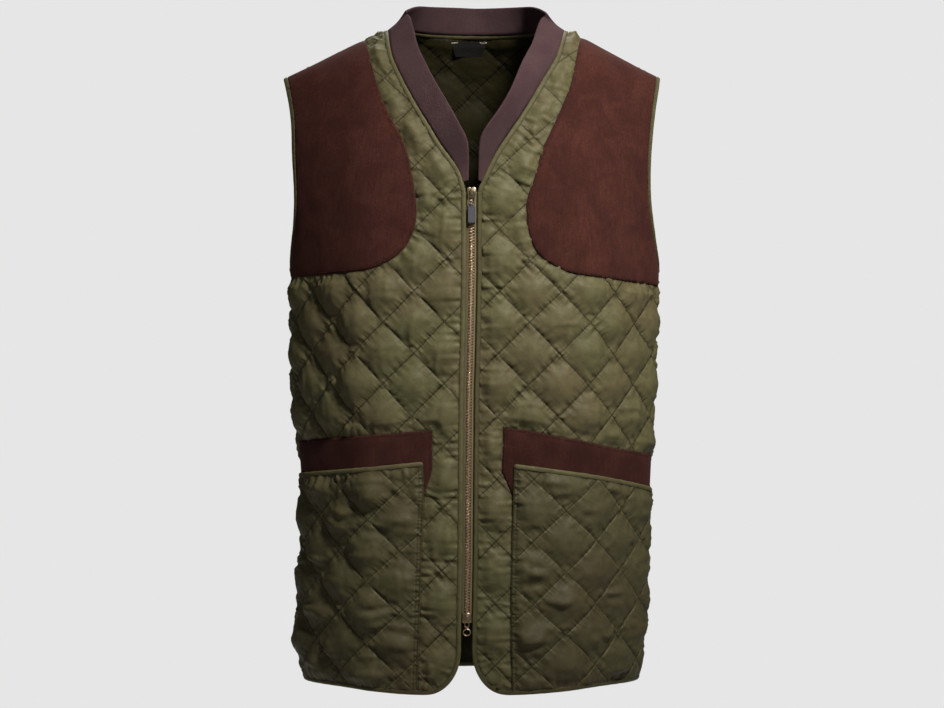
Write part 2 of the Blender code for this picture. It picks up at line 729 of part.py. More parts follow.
def front(side):
    """One front with its suede patch, pocket trim and pocket, cut from the same triangles."""
    cloth, name = FRONT[side], SIDE_NAME[side]
    outline, mouth, inner, top, leg, hidden, trim, pocket = pocket_lines(side)
    patch_line = smooth(PATCH[side], EDGE_STEP * 0.8)
    patch = polygon(patch_line, (0.34, patch_line[-1, 1]), (0.34, 0.10), (patch_line[0, 0], 0.10))
    body_quilt = Quilting(QUILT_AT["front_" + name])
    pocket_quilt = Quilting(QUILT_AT["pocket_" + name], POCKET_QUILT_WIDE)
    body_dots = body_quilt.points(outline, QUILT_CELLS)
    pocket_dots = pocket_quilt.points(outline, QUILT_CELLS)
    plain_dots = body_quilt.points(outline, PLAIN_CELLS)
    plain_dots = plain_dots[inside(patch, plain_dots)]
    body_dots = body_dots[~inside(pocket, body_dots) & ~inside(patch, body_dots)]
    pocket_dots = pocket_dots[inside(pocket, pocket_dots)]
    lines = [patch_line, mouth, inner, top, leg, hidden]
    outer = Piece(outline, lines, np.vstack([body_dots, plain_dots, pocket_dots]))
    coarse = Quilting(QUILT_AT["front_" + name], LINING_GRID, LINING_GRID)
    lining = Piece(outer.loop(), (), coarse.points(outline, 1), LINING_MARGIN)
    covered = inside(patch, outer.uv) | inside(trim, outer.uv) | inside(pocket, outer.uv)
    fade = np.full(len(outer.uv), np.inf)
    for line in (closed(outer.loop()), patch_line, mouth, inner, top, leg):
        fade = np.minimum(fade, distance(line, outer.uv))
    puff = PUFF * body_quilt.raised(outer.uv) * np.clip(fade / 0.012, 0, 1) ** 0.7
    puff[covered | (fade < 1e-5)] = 0
    wall("front_" + name, cloth, outer, FLAT + puff, lining, -FLAT, "olive")

    shape = outer.part(patch)
    wall("shoulder_patch_" + name, cloth, shape, FLAT + SEAM + SUEDE, shape, FLAT + SEAM, "suede")
    shape = outer.part(trim)
    wall("pocket_trim_" + name, cloth, shape, FLAT + SEAM + SUEDE, shape, FLAT + SEAM, "suede")
    shape = outer.part(pocket)
    base = FLAT + lifted(trim, shape.uv)
    fade = distance(closed(shape.loop()), shape.uv)
    puff = PUFF * pocket_quilt.raised(shape.uv) * np.clip(fade / 0.012, 0, 1) ** 0.7
    wall("pocket_" + name, cloth, shape, base + POCKET_WALL + puff, shape, base, "olive")


def back():
    """The back in one piece, quilted like the fronts, and the blank label inside its neck."""
    outline = joined(*BACK_EDGE.values())
    quilt = Quilting(QUILT_AT["back"])
    outer = Piece(outline, (), quilt.points(outline, QUILT_CELLS))
    left, right = LABEL_U
    top = np.interp(0, *BACK_EDGE["neck"][::-1].T) - 0.004
    label = np.array([(left, top), (left + LABEL_TAPER, top - LABEL_HIGH),
                      (right - LABEL_TAPER, top - LABEL_HIGH), (right, top)])
    coarse = Quilting(QUILT_AT["back"], LINING_GRID, LINING_GRID)
    lining = Piece(outer.loop(), [closed(label)], coarse.points(outline, 1), LINING_MARGIN)
    fade = distance(closed(outer.loop()), outer.uv)
    puff = PUFF * quilt.raised(outer.uv) * np.clip(fade / 0.012, 0, 1) ** 0.7
    wall("back", BACK, outer, FLAT + puff, lining, -FLAT, "olive")
    shape = lining.part(label)
    wall("neck_label", BACK, shape, -FLAT - SEAM, shape, -FLAT - SEAM - LABEL, "label")


def edge_binding():
    """One binding down the right front's edge, round the hem, and up the left front's edge."""
    low, high = -FLAT - OVER, FLAT + OVER
    over_pocket = FLAT + SEAM + POCKET_WALL + OVER
    runs = {}
    for side in (RIGHT, LEFT):
        edge = FRONT_EDGE[side]
        line = np.vstack([edge["zip"][1:], edge["corner"][1:], edge["hem"][1:]])
        line[0, 1] -= 0.5 * BINDING
        reach = np.interp(line[:, 0], (0.045, 0.058), (high, over_pocket))
        runs[side] = bead_rings(FRONT[side], line, low, reach, 1)
    hem = BACK_EDGE["hem"]
    ramp = np.clip((np.abs(hem[:, 0]) - 0.200) / 0.040, 0, 1)
    behind = bead_rings(BACK, hem, low, high + ramp * (over_pocket - high), 1)
    rings = np.vstack([runs[RIGHT], behind[1:-1], runs[LEFT][::-1]])
    strip("edge_binding", rings, "binding")


def armhole_binding(side):
    """The binding round one armhole, over the suede patch in front and the cloth behind."""
    low, high = -FLAT - OVER, FLAT + OVER
    over_patch = FLAT + SEAM + SUEDE + OVER
    name = SIDE_NAME[side]
    before = bead_rings(FRONT[side], FRONT_EDGE[side]["arm"], low, over_patch, 1)
    line = BACK_EDGE["arm_" + name]
    reach = np.full(len(line), high)
    reach[[1, -2]] = (high + over_patch) / 2
    behind = bead_rings(BACK, line, low, reach, 1)
    if side == LEFT:
        behind = behind[::-1]
    strip("armhole_binding_" + name, np.vstack([before, behind[1:-1]]), "binding", True)


def neck_run():
    """The neckline from the V up the right, round the back and down the left, face by face."""
    right = FRONT_EDGE[RIGHT]["neck"][::-1]
    left = FRONT_EDGE[LEFT]["neck"]
    return (FRONT[RIGHT], right, -1), (BACK, BACK_EDGE["neck"][::-1][1:-1], -1), (FRONT[LEFT], left, 1)


def neck_binding():
    """The binding between the quilted cloth and the knitted collar."""
    low, high = -FLAT - OVER, FLAT + OVER
    strip("neck_binding", np.vstack([bead_rings(c, line, low, high, s) for c, line, s in neck_run()]),
          "binding")


def collar():
    """The ribbed knit band: it lies flat at the V and stands up round the back of the neck."""
    lines = []
    for cloth, line, way in neck_run():
        ahead = np.gradient(line, axis=0)
        ahead /= np.linalg.norm(ahead, axis=1, keepdims=True)
        out = np.stack([ahead[:, 1], -ahead[:, 0]], 1) * way
        seam = cloth.at(line + out * (BINDING + SEAM))
        normal = cloth.at(line + out * (BINDING + SEAM), 1.0) - seam
        inward = cloth.at(line + out * (BINDING + SEAM + FORM_STEP)) - seam
        inward /= np.linalg.norm(inward, axis=1, keepdims=True)
        lines.append((seam, normal, inward))
    seam, normal, inward = (np.vstack(parts) for parts in zip(*lines))
    arc = np.concatenate([[0], np.cumsum(np.linalg.norm(np.diff(seam, axis=0), axis=1))])
    share = arc / arc[-1] * 2 - 1
    stand = [through(STAND[side], 1, 1 - np.abs(share)) for side in (RIGHT, LEFT)]
    stand = np.radians(np.where(share < 0, *stand))[:, None]
    along = np.cos(stand) * inward + np.sin(stand) * normal
    face = np.cos(stand) * normal - np.sin(stand) * inward
    seam = seam + inward * np.sin(stand) * KNIT / 2
    zip_x = through(BODY, 3, seam[:, 2])
    room = np.abs(seam[:, 0] - zip_x) - COLLAR_CLEAR
    room = np.clip(room / np.abs(along[:, 0]), 1e-4, None)
    eased = (KNIT_WIDTH**-COLLAR_EASE + room**-COLLAR_EASE) ** (-1 / COLLAR_EASE)
    wide = np.where(seam[:, 1] < -0.03, eased, KNIT_WIDTH)
    rings = []
    for share, out in ((0, 1), (0.33, 1), (0.67, 1), (1, 0.7), (1, -0.7), (0.67, -1), (0.33, -1), (0, -1)):
        rings.append(seam + along * (wide * share)[:, None] + face * out * KNIT / 2)
    keep = (wide > 0.0012) & (seam[:, 2] > ZIP_TOP + SEAM)
    strip("collar", np.stack(rings, axis=1)[keep], "knit")


def pocket_binding(side):
    """The binding along a pocket's mouth, standing over the suede trim."""
    cloth, name = FRONT[side], SIDE_NAME[side]
    line = smooth(MOUTH[side], EDGE_STEP)
    seam = cloth.seam(line[:, 1]) - SEAM / 2
    inner = line[line[:, 0] < seam - 0.004]
    last = np.array([[seam[len(inner)], np.interp(seam[len(inner)], line[:, 0], line[:, 1])]])
    line = np.vstack([inner, last])
    base = FLAT + SEAM + SUEDE + SEAM
    rings = bead_rings(cloth, line, base, base + POCKET_WALL + MOUTH_ROLL, -1)
    strip("pocket_binding_" + name, rings, "binding")


def zip_tape(side):
    """One side of the zip's tape, sewn behind the front's edge."""
    line = FRONT_EDGE[side]["zip"]
    line = np.vstack([line[line[:, 1] > ZIP_END + SLIDER], [(line[0, 0], ZIP_END)]])
    face, rear = -FLAT - OVER - SEAM, -FLAT - OVER - SEAM - TAPE
    sewn, edge = TAPE_LAP, CHAIN_HALF + SEAM - line[0, 0]
    section = ((sewn, face), (edge, face), (edge, rear), (sewn, rear))
    rings = [FRONT[side].at(line + (across, 0), out) for across, out in section]
    strip("zip_tape_" + SIDE_NAME[side], np.stack(rings, axis=1), "tape")


def zip_chain():
    """The closed row of teeth as one bar between the two sliders."""
    line = FRONT_EDGE[LEFT]["zip"][:, 1]
    low, high = ZIP_END + SLIDER + SEAM, ZIP_TOP - SLIDER - SEAM
    v = np.concatenate([[high], line[(line < high - 0.004) & (line > low + 0.004)], [low]])
    rings = []
    for u, out in ((-1, CHAIN_FRONT), (1, CHAIN_FRONT), (1, CHAIN_BACK), (-1, CHAIN_BACK)):
        rings.append(FRONT[LEFT].at(np.stack([np.full_like(v, u * CHAIN_HALF), v], 1), out))
    strip("zip_chain", np.stack(rings, axis=1), "brass")


# Zip hardware: each is made about the centre front at one height, then moved there


def meshed(name, curve, turn, finish):
    """A curve as a closed mesh of its own, turned from the curve's plane."""
    shape = bpy.data.objects.new(name, curve)
    GARMENT.objects.link(shape)
    graph = bpy.context.evaluated_depsgraph_get()
    mesh = bpy.data.meshes.new_from_object(shape.evaluated_get(graph))
    bpy.data.objects.remove(shape)
    mesh.transform(turn)
    work = bmesh.new()
    work.from_mesh(mesh)
    bmesh.ops.remove_doubles(work, verts=work.verts, dist=1e-6)
    work.to_mesh(mesh)
    work.free()
    mesh.name = name
    mesh.materials.clear()
    mesh.materials.append(material(finish))
    made = bpy.data.objects.new(name, mesh)
    GARMENT.objects.link(made)
    return made


def drawn(name, path):
    """A closed curve of straight runs through the points given."""
    curve = bpy.data.curves.new(name, "CURVE")
    spline = curve.splines.new("POLY")
    spline.points.add(len(path) - 1)
    for point, place in zip(spline.points, path):
        point.co = (place[0], place[1], 0, 1)
    spline.use_cyclic_u = True
    return curve


# From a curve's own plane: facing along Y, with its first axis on X, and along X, with it on Y
ON_Y = Matrix(((1, 0, 0), (0, 0, -1), (0, 1, 0))).to_4x4()
ON_X = Matrix(((0, 0, 1), (1, 0, 0), (0, 1, 0))).to_4x4()


def wire(name, path, radius, finish):
    """A closed loop of round wire, drawn as x, z."""
    curve = drawn(name, path)
    curve.dimensions = "3D"
    curve.bevel_depth = radius
    curve.bevel_resolution = 1
    return meshed(name, curve, ON_Y, finish)


def plate(name, outline, thick, turn, finish):
    """A flat outline made solid, with half its thickness each side of its plane."""
    curve = drawn(name, outline)
    curve.dimensions = "2D"
    curve.fill_mode = "BOTH"
    curve.extrude = thick / 2
    return meshed(name, curve, turn, finish)


def rod(name, radius, long, height, finish):
    """A round bar along X at one height."""
    mesh = bpy.data.meshes.new(name)
    work = bmesh.new()
    place = Matrix.Translation((0, 0, height)) @ Matrix.Rotation(math.pi / 2, 4, "Y")
    bmesh.ops.create_cone(work, cap_ends=True, segments=12, radius1=radius, radius2=radius,
                          depth=long, matrix=place)
    work.to_mesh(mesh)
    work.free()
    mesh.materials.append(material(finish))
    made = bpy.data.objects.new(name, mesh)
    GARMENT.objects.link(made)
    return made


def combined(base, *others, how="UNION"):
    """The base with the other shapes joined to it or cut from it."""
    for other in others:
        boolean = base.modifiers.new("join", "BOOLEAN")
        boolean.operation = how
        boolean.object = other
    graph = bpy.context.evaluated_depsgraph_get()
    mesh = bpy.data.meshes.new_from_object(base.evaluated_get(graph))
    base.modifiers.clear()
    base.data = mesh
    for other in others:
        bpy.data.objects.remove(other)
    return base


def centre_front(v):
    """The place on the centre front at one height."""
    return Vector(FRONT[LEFT].at(np.array([[0.0, v]]))[0])


def rounded(half, top, end, cut):
    """A rectangle with its corners cut off, as x, z."""
    return [(-half, top - cut), (cut - half, top), (half - cut, top), (half, top - cut),
            (half, end + cut), (half - cut, end), (cut - half, end), (-half, end + cut)]


def slider(name, top, way):
    """A slider's body with the bail that holds its pull. way is 1 upright, -1 upside down."""
    half, front = SLIDER_HALF, -SLIDER_DEEP
    wings = [(-half, 0.15), (-0.72 * half, 0), (-0.16 * half, 0), (0, 0.12), (0.16 * half, 0),
             (0.72 * half, 0), (half, 0.15), (half, 0.5), (0.62 * half, 1), (-0.62 * half, 1)]
    outline = [(x, -share * SLIDER) for x, share in wings]
    body = plate(name, outline, SLIDER_DEEP + SLIDER_BACK, ON_Y, "brass")
    body.data.transform(Matrix.Translation((0, (SLIDER_BACK - SLIDER_DEEP) / 2, 0)))
    foot, inner, outer = front + BAIL_FOOT, front - BAIL_OUT + BAIL_THICK, front - BAIL_OUT
    high, low, turn = -BAIL_FROM, -BAIL_TO, BAIL_THICK * 0.8
    arch = [(foot, high), (outer + turn, high), (outer, high - turn), (outer, low + turn),
            (outer + turn, low), (foot, low), (foot, low + BAIL_THICK), (inner, low + BAIL_THICK),
            (inner, high - BAIL_THICK), (foot, high - BAIL_THICK)]
    combined(body, plate(name + "_bail", arch, 2 * BAIL_HALF, ON_X, "brass"))
    if way == -1:
        body.data.transform(Matrix.Scale(-1, 4, (0, 0, 1)))
        body.data.flip_normals()
    place = centre_front(top - SLIDER / 2)
    place.z = top if way == 1 else top - SLIDER
    body.location = place


def pivot(top, way):
    """The place under a slider's bail that its pull turns about."""
    place = centre_front(top - SLIDER / 2)
    place.y -= SLIDER_DEEP + SEAM + WIRE
    place.z = top - PIVOT_DOWN if way == 1 else top - SLIDER + PIVOT_DOWN
    return place


def pull(place):
    """The top slider's pull: a wire link under the bail, and a plain tab hinged on the link."""
    wide, narrow = LINK_HALF
    low, cut = -LINK_LONG, CORNER
    path = [(-wide, -cut), (cut - wide, 0), (wide - cut, 0), (wide, -cut),
            (wide, low * 0.55), (narrow, low + cut), (narrow - cut, low),
            (cut - narrow, low), (-narrow, low + cut), (-wide, low * 0.55)]
    link = wire("zip_link", path, WIRE, "brass")
    top, end = low - TAB_EYE - TAB_NECK, low - TAB_LONG
    tab = plate("zip_pull_tab", rounded(TAB_HALF, top, end, CORNER), TAB_THICK, ON_Y, "tab")
    eye = 2 * (narrow - WIRE - SEAM)
    barrel = rod("barrel", TAB_EYE, eye, low, "tab")
    shape = rounded(eye * 0.49, low - TAB_BORE / 2, top - CORNER, TAB_NECK / 3)
    neck = plate("neck", shape, TAB_THICK * 0.9, ON_Y, "tab")
    bore = rod("bore", TAB_BORE, 2 * eye, low, "tab")
    combined(tab, barrel, neck)
    combined(tab, bore, how="DIFFERENCE")
    for obj in (link, tab):
        obj.location = place


def ring_pull(place):
    """The bottom slider's pull: an eye under the bail, and an oval ring below it."""
    eye = wire("zip_ring_pull", rounded(EYE_HALF, 0, -EYE_LONG, CORNER), WIRE, "brass")
    turn = [k * math.tau / 24 for k in range(24)]
    path = [(RING_HALF * math.sin(a), -RING_DOWN + RING_HIGH * math.cos(a)) for a in turn]
    oval = wire("oval", path, 1.1 * WIRE, "brass")
    top = RING_HIGH - RING_DOWN
    shape = rounded(EYE_NECK, WIRE / 3 - EYE_LONG, top - WIRE / 3, WIRE / 2)
    combined(eye, oval, plate("neck", shape, 1.6 * WIRE, ON_Y, "brass"))
    eye.location = place


GARMENT = bpy.data.collections.new("gilet")


def main():
    for obj in list(bpy.data.objects):
        bpy.data.objects.remove(obj)
    bpy.context.scene.collection.children.link(GARMENT)
    back()
    for side in (RIGHT, LEFT):
        front(side)
        pocket_binding(side)
        armhole_binding(side)
        zip_tape(side)
    edge_binding()
    neck_binding()
    collar()
    zip_chain()
    slider("zip_slider_top", ZIP_TOP, 1)
    slider("zip_slider_bottom", ZIP_END + SLIDER, -1)
    pull(pivot(ZIP_TOP, 1))
    ring_pull(pivot(ZIP_END + SLIDER, -1))


main()
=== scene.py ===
"""The looks of a men's quilted shooting gilet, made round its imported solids.

Metres, +Z up, front facing -Y, the wearer's left at +X. Cloth lies on the same surface as in the
solids: u is the distance over the cloth from the centre line, and v the height up the cloth.
"""

import math

import bmesh
import bpy
import numpy as np
from bpy.props import FloatProperty, FloatVectorProperty, IntProperty, PointerProperty
from mathutils import Matrix, Vector
from mathutils.geometry import delaunay_2d_cdt
from mathutils.kdtree import KDTree


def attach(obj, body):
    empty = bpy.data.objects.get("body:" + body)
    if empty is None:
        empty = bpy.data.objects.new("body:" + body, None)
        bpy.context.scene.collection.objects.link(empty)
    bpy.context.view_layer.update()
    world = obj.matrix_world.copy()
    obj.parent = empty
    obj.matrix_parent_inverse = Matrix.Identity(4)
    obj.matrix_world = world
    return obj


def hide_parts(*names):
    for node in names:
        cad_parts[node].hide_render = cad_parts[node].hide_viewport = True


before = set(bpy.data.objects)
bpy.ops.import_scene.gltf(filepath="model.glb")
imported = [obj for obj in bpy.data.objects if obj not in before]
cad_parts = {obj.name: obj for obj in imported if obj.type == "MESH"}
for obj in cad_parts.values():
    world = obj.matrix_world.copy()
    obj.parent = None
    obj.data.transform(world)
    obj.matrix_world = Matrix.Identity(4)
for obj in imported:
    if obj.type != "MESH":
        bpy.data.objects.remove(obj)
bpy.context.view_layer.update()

bl_info = {
    "name": "Quilted gilet",
    "version": (1, 0, 0),
    "blender": (4, 5, 0),
    "location": "View3D > Sidebar > Gilet",
    "description": "Makes the visible pieces of a quilted gilet round its solids",
    "category": "Add Mesh",
}

RIGHT, LEFT = SIDES = -1, 1
SIDE_NAME = {RIGHT: "right", LEFT: "left"}
FORE, REAR = -1, 1

# The garment's sizes, as in its solids: heights, the zip's gap, bindings, thicknesses and quilting
CHEST = -0.3
HEM = -0.7975
HEM_RISE = 0.006
CORNER = (0.041, 0.053)
SIDE_Y = -0.004
ZIP_GAP = 0.013
BINDING = 0.0048
HEM_AT = HEM + BINDING
OVER = 0.0008
MOUTH_ROLL = 0.001
WALL = 0.0026
FLAT = WALL / 2
LAP = FLAT + OVER
SUEDE = 0.0012
POCKET_WALL = 0.002
KNIT = 0.003
KNIT_WIDTH = 0.033
QUILT_WIDE = 0.0725
QUILT_HIGH = 0.0735
POCKET_QUILT_WIDE = 0.078
# The gap between sewn pieces, and the closer one at the side and shoulder seams
SEAM = 0.0003
SEWN = 0.00003

# Rings round the body: height, half width at the right and left, centre front x, front y, back y
BODY = (
    (-0.800, 0.1985, 0.1975, -0.0065, -0.116, 0.116),
    (-0.775, 0.2050, 0.2025, -0.0065, -0.117, 0.118),
    (-0.745, 0.2100, 0.2055, -0.0065, -0.118, 0.119),
    (-0.700, 0.2100, 0.2095, -0.0060, -0.119, 0.118),
    (-0.640, 0.2055, 0.2110, -0.0050, -0.119, 0.114),
    (-0.570, 0.2045, 0.2140, -0.0045, -0.119, 0.110),
    (-0.503, 0.2085, 0.2175, -0.0040, -0.119, 0.110),
    (-0.440, 0.2165, 0.2205, -0.0035, -0.120, 0.114),
    (-0.380, 0.2175, 0.2225, -0.0020, -0.121, 0.119),
    (-0.300, 0.2190, 0.2260, -0.0005, -0.121, 0.122),
)
# The front and the back: how a ring turns from the centre line to the side seam (share of the way,
# degrees turned), the arcs that meet the shoulder seam's ends, and where the middle ends at the neck
FACES = {
    FORE: (((0.0, 0), (0.3, 4), (0.45, 13), (0.56, 36), (0.84, 48), (0.95, 70), (1.0, 88)),
           (0.1, 0.232), (0.0, -0.06, -0.025)),
    REAR: (((0.0, 0), (0.3, 10), (0.55, 25), (0.75, 42), (0.9, 66), (1.0, 88)),
           (0.11, 0.242), (0.004, 0.032, 0.022)),
}
# The shoulder seams' ends, and how the ribs bend over to the shoulder
NECK_X = {RIGHT: 0.103, LEFT: 0.1135}
TIP_X = {RIGHT: 0.23, LEFT: 0.229}
TIP_Z = -0.061
RIB_LIFT = 0.52
RIB_REACH = 0.6
RIB_ROUND = 0.014

# Pattern curves as u, v. A v of None is the shoulder seam, a u of None the side seam
FRONT_NECK = {
    RIGHT: ((0.0113, -0.2035), (0.019, -0.18), (0.04, -0.1495), (0.052, -0.1285), (0.0705, -0.095),
            (0.0855, -0.063), (0.098, -0.027), (0.1045, None)),
    LEFT: ((0.0113, -0.2035), (0.0175, -0.19), (0.0315, -0.1595), (0.059, -0.112), (0.08, -0.067),
           (0.096, -0.026), (0.1045, None)),
}
BACK_NECK = ((0.0, 0.0085), (0.035, 0.01), (0.07, 0.0165), (0.098, 0.03), (0.1145, None))
FRONT_ARM = {
    RIGHT: ((None, -0.2915), (0.26, -0.274), (0.244, -0.243), (0.2345, -0.208), (0.23, -0.16),
            (0.2248, -0.105), (0.2275, None)),
    LEFT: ((None, -0.2915), (0.26, -0.272), (0.2455, -0.243), (0.234, -0.208), (0.228, -0.16),
           (0.2262, -0.105), (0.2275, None)),
}
BACK_ARM = ((None, -0.2915), (0.264, -0.278), (0.253, -0.248), (0.243, -0.208), (0.236, -0.16),
            (0.2335, -0.105), (0.2375, None))
# The suede shoulder patches, from the shoulder seam round to the side seam
PATCH = {
    RIGHT: ((0.131, 0.035), (0.115, -0.055), (0.0998, -0.102), (0.0794, -0.144), (0.07, -0.183),
            (0.0648, -0.22), (0.0665, -0.244), (0.0754, -0.265), (0.0876, -0.2786), (0.1, -0.286),
            (0.1216, -0.295), (0.158, -0.2988), (0.276, -0.3025)),
    LEFT: ((0.123, 0.035), (0.1114, -0.0636), (0.1016, -0.0968), (0.0878, -0.1328), (0.0796, -0.1534),
           (0.0718, -0.1876), (0.065, -0.2092), (0.0638, -0.2274), (0.0672, -0.253), (0.0764, -0.274),
           (0.0918, -0.2878), (0.1148, -0.2988), (0.139, -0.3024), (0.2006, -0.308), (0.282, -0.313)),
}
# The pockets: the mouth and the trim's top edge run out to the side seam
MOUTH = {
    RIGHT: ((0.0535, -0.5264), (0.131, -0.5345), (0.275, -0.5465)),
    LEFT: ((0.0535, -0.529), (0.1108, -0.537), (0.1636, -0.545), (0.282, -0.5655)),
}
TRIM_TOP = {
    RIGHT: ((0.0426, -0.4846), (0.1114, -0.4902), (0.1966, -0.4966), (0.28, -0.503)),
    LEFT: ((0.0408, -0.4806), (0.08, -0.4868), (0.1262, -0.496), (0.1838, -0.507), (0.286, -0.52)),
}
POCKET_INNER = {
    RIGHT: ((0.0535, -0.5264), (0.0522, -0.5588), (0.054, -0.606), (0.0552, -0.68), (0.0584, -0.82)),
    LEFT: ((0.0535, -0.529), (0.0522, -0.5906), (0.0514, -0.6662), (0.0545, -0.82)),
}
# The trim's leg, where it turns and its lowest height, and the trim's hidden lap under the pocket
TRIM_LEG = {RIGHT: (0.0424, -0.5318, -0.562), LEFT: (0.0392, -0.5328, -0.564)}
TRIM_UNDER = 0.015
LEG_WIDE = 0.016
# Places outside the fronts that close the pocket's and the patch's shapes
POCKET_FAR = (0.35, -0.82)
PATCH_FAR = (0.34, 0.1)

# A crossing of the quilting lines on each piece
QUILT_AT = {
    "front_right": (0.03, -0.43),
    "front_left": (0.0333, -0.395),
    "back": (0.0000, -0.43),
    "pocket_right": (0.08, -0.6275),
    "pocket_left": (0.077, -0.616),
}
# The grid that a face's surface is kept on: its step, its lowest height, and its span across
FORM_STEP = 0.003
FORM_LOW = -0.831
FORM_FROM = -0.015
FORM_TO = 0.3

# Zip: heights, then sizes. Its parts stand on the centre front, in front of it by so much
ZIP_TOP = -0.1985
ZIP_END = -0.712
SLIDER = 0.0125
SLIDER_HALF = 0.0058
SLIDER_DEEP = 0.0029
SLIDER_BACK = 0.0018
BAIL_HALF = 0.0016
BAIL_OUT = 0.003
BAIL_THICK = 0.001
BAIL_FOOT = 0.0004
BAIL_FROM = 0.0012
BAIL_TO = 0.0092
WIRE = 0.0006
PIVOT_DOWN = 0.0042
CHAIN_HALF = 0.0032
CHAIN_FRONT = 0.0006
TAPE_LAP = 0.0028
TAPE = 0.0007
LINK_HALF = (0.0037, 0.0027)
LINK_LONG = 0.016
TAB_HALF = 0.0043
TAB_LONG = 0.0235
TAB_THICK = 0.002
TAB_EYE = 0.0017
TAB_BORE = 0.001
TAB_NECK = 0.0006
EYE_HALF = 0.0024
EYE_LONG = 0.0085
EYE_NECK = 0.0013
RING_HALF = 0.0043
RING_HIGH = 0.0037
RING_DOWN = 0.0148

# The knitted collar: share of the way from the V's point to the back's middle, degrees it stands up
STAND = {
    RIGHT: ((0.0, 8), (0.1, 20), (0.25, 14), (0.42, 10), (0.56, 8), (0.75, 22), (0.86, 33), (1.0, 50)),
    LEFT: ((0.0, 10), (0.06, 28), (0.14, 40), (0.3, 40), (0.42, 20), (0.56, 1), (0.75, 18),
           (0.86, 31), (1.0, 50)),
}
# The collar's distance from the zip, how firmly its width keeps to it, and the steps of its seam
COLLAR_CLEAR = 0.0056
COLLAR_EASE = 6
NECK_STEP = 0.011
# The blank label: its ends across, how much it narrows downwards, its height and its thickness
LABEL_U = (-0.031, 0.0155)
LABEL_TAPER = 0.006
LABEL_HIGH = 0.02
LABEL = 0.0006

# How finely the cloth is cut: steps along its edges and for distances, and rows beside its lines
EDGE = 0.0024
NEAR_STEP = 0.0005
BESIDE = (0.0012, 0.0026)
# Grid cells to a quilting diamond, on each face and under what covers it
FINE_CELLS = 27
BACK_CELLS = 18
BACK_LINING_CELLS = 16
FRONT_LINING_CELLS = 10
COVERED_CELLS = 6
# The padding: how far in from an edge it is full, and the shapes of its domes, folds and gathers
EDGE_FADE = 0.012
DOME_POWER = 0.84
FOLD_RISE = 0.3
UPRIGHT_FOLD = (0.006, 0.028)
LEVEL_FOLD = (0.032, 0.0076)
LINE_GATHER = (0.0046, 0.05)
EDGE_GATHER = 0.0044
GATHER_REACH = 0.011
# Where the painted highlight lies on the cloth below a quilting line, as a share of the lines' distance
RIDGE_BELOW = 0.026
# The drawn gathers: how far apart two lines' patterns lie, and how many gathers a diamond has
GATHER_DRAWN = (7.3, 12.0, 1)
# How far the bindings lap over the cloth, and the knit goes in under its binding
BINDING_LAP = 0.001
KNIT_TUCK = 0.0012
# The rows of stitches in from an edge, and how far the quilting thread stands on the cloth
POCKET_ROWS = (0.0013, 0.005)
SUEDE_ROW = 0.0026
THREAD_LIFT = 0.0001


def linear(code):
    """An sRGB hex colour as linear red, green, blue and alpha."""
    parts = [int(code[k : k + 2], 16) / 255 for k in (1, 3, 5)]
    return tuple(c / 12.92 if c <= 0.04045 else ((c + 0.055) / 1.055) ** 2.4 for c in parts) + (1.0,)


def panel():
    """The cloth's sizes, as they are set in the panel."""
    return bpy.context.scene.gilet_cloth


def limited(value):
    """The value, kept from 0 to 1."""
    return np.clip(value, 0, 1)


def unit(vectors):
    """The vectors, each made 1 long."""
    return vectors / np.linalg.norm(vectors, axis=-1, keepdims=True)


def lengths(line):
    """The length along a line up to each of its points."""
    return np.concatenate([[0], np.cumsum(np.linalg.norm(np.diff(line, axis=0), axis=1))])


def read(at, lengths_on, line):
    """The places at some lengths on a line, from the lengths up to its points."""
    return np.stack([np.interp(at, lengths_on, column) for column in line.T], 1)


def rightward(line):
    """The way to the right of a flat line at each of its points."""
    ahead = unit(np.gradient(line, axis=0))
    return np.stack([ahead[:, 1], -ahead[:, 0]], 1)


# The cloth's surface


def bend(x, y, at):
    """A smooth curve through the places given, worked out at the values asked for."""
    slope = np.gradient(y, x)
    i = np.clip(np.searchsorted(x, at) - 1, 0, len(x) - 2)
    h = x[i + 1] - x[i]
    t = limited((at - x[i]) / h)
    start = y[i] * (1 + 2 * t) * (1 - t) ** 2 + slope[i] * h * t * (1 - t) ** 2
    end = y[i + 1] * t * t * (3 - 2 * t) + slope[i + 1] * h * t * t * (t - 1)
    beyond = (at - np.clip(at, x[0], x[-1])) * np.where(at < x[0], slope[0], slope[-1])
    return start + end + beyond


def through(rows, column, at):
    """The smooth curve through one column of a table."""
    columns = np.array(rows).T
    return bend(columns[0], columns[column], at)


def noise(places, size, seed):
    """Smooth noise from -1 to 1 over flat places, with bumps about as large as the size given."""
    lattice = np.random.default_rng(seed).uniform(-1, 1, (128, 128))
    scaled = places / size + 37.5
    low = np.floor(scaled).astype(int)
    a, b = ((scaled - low) ** 2 * (3 - 2 * (scaled - low))).T
    i, j = low.T % 128
    near = lattice[i, j] * (1 - a) + lattice[(i + 1) % 128, j] * a
    far = lattice[i, (j + 1) % 128] * (1 - a) + lattice[(i + 1) % 128, (j + 1) % 128] * a
    return near * (1 - b) + far * b


def noise_along(arc, size, seed):
    """Smooth noise from -1 to 1 along a line."""
    return noise(np.stack([arc, 0 * arc], 1), (size, 1), seed)


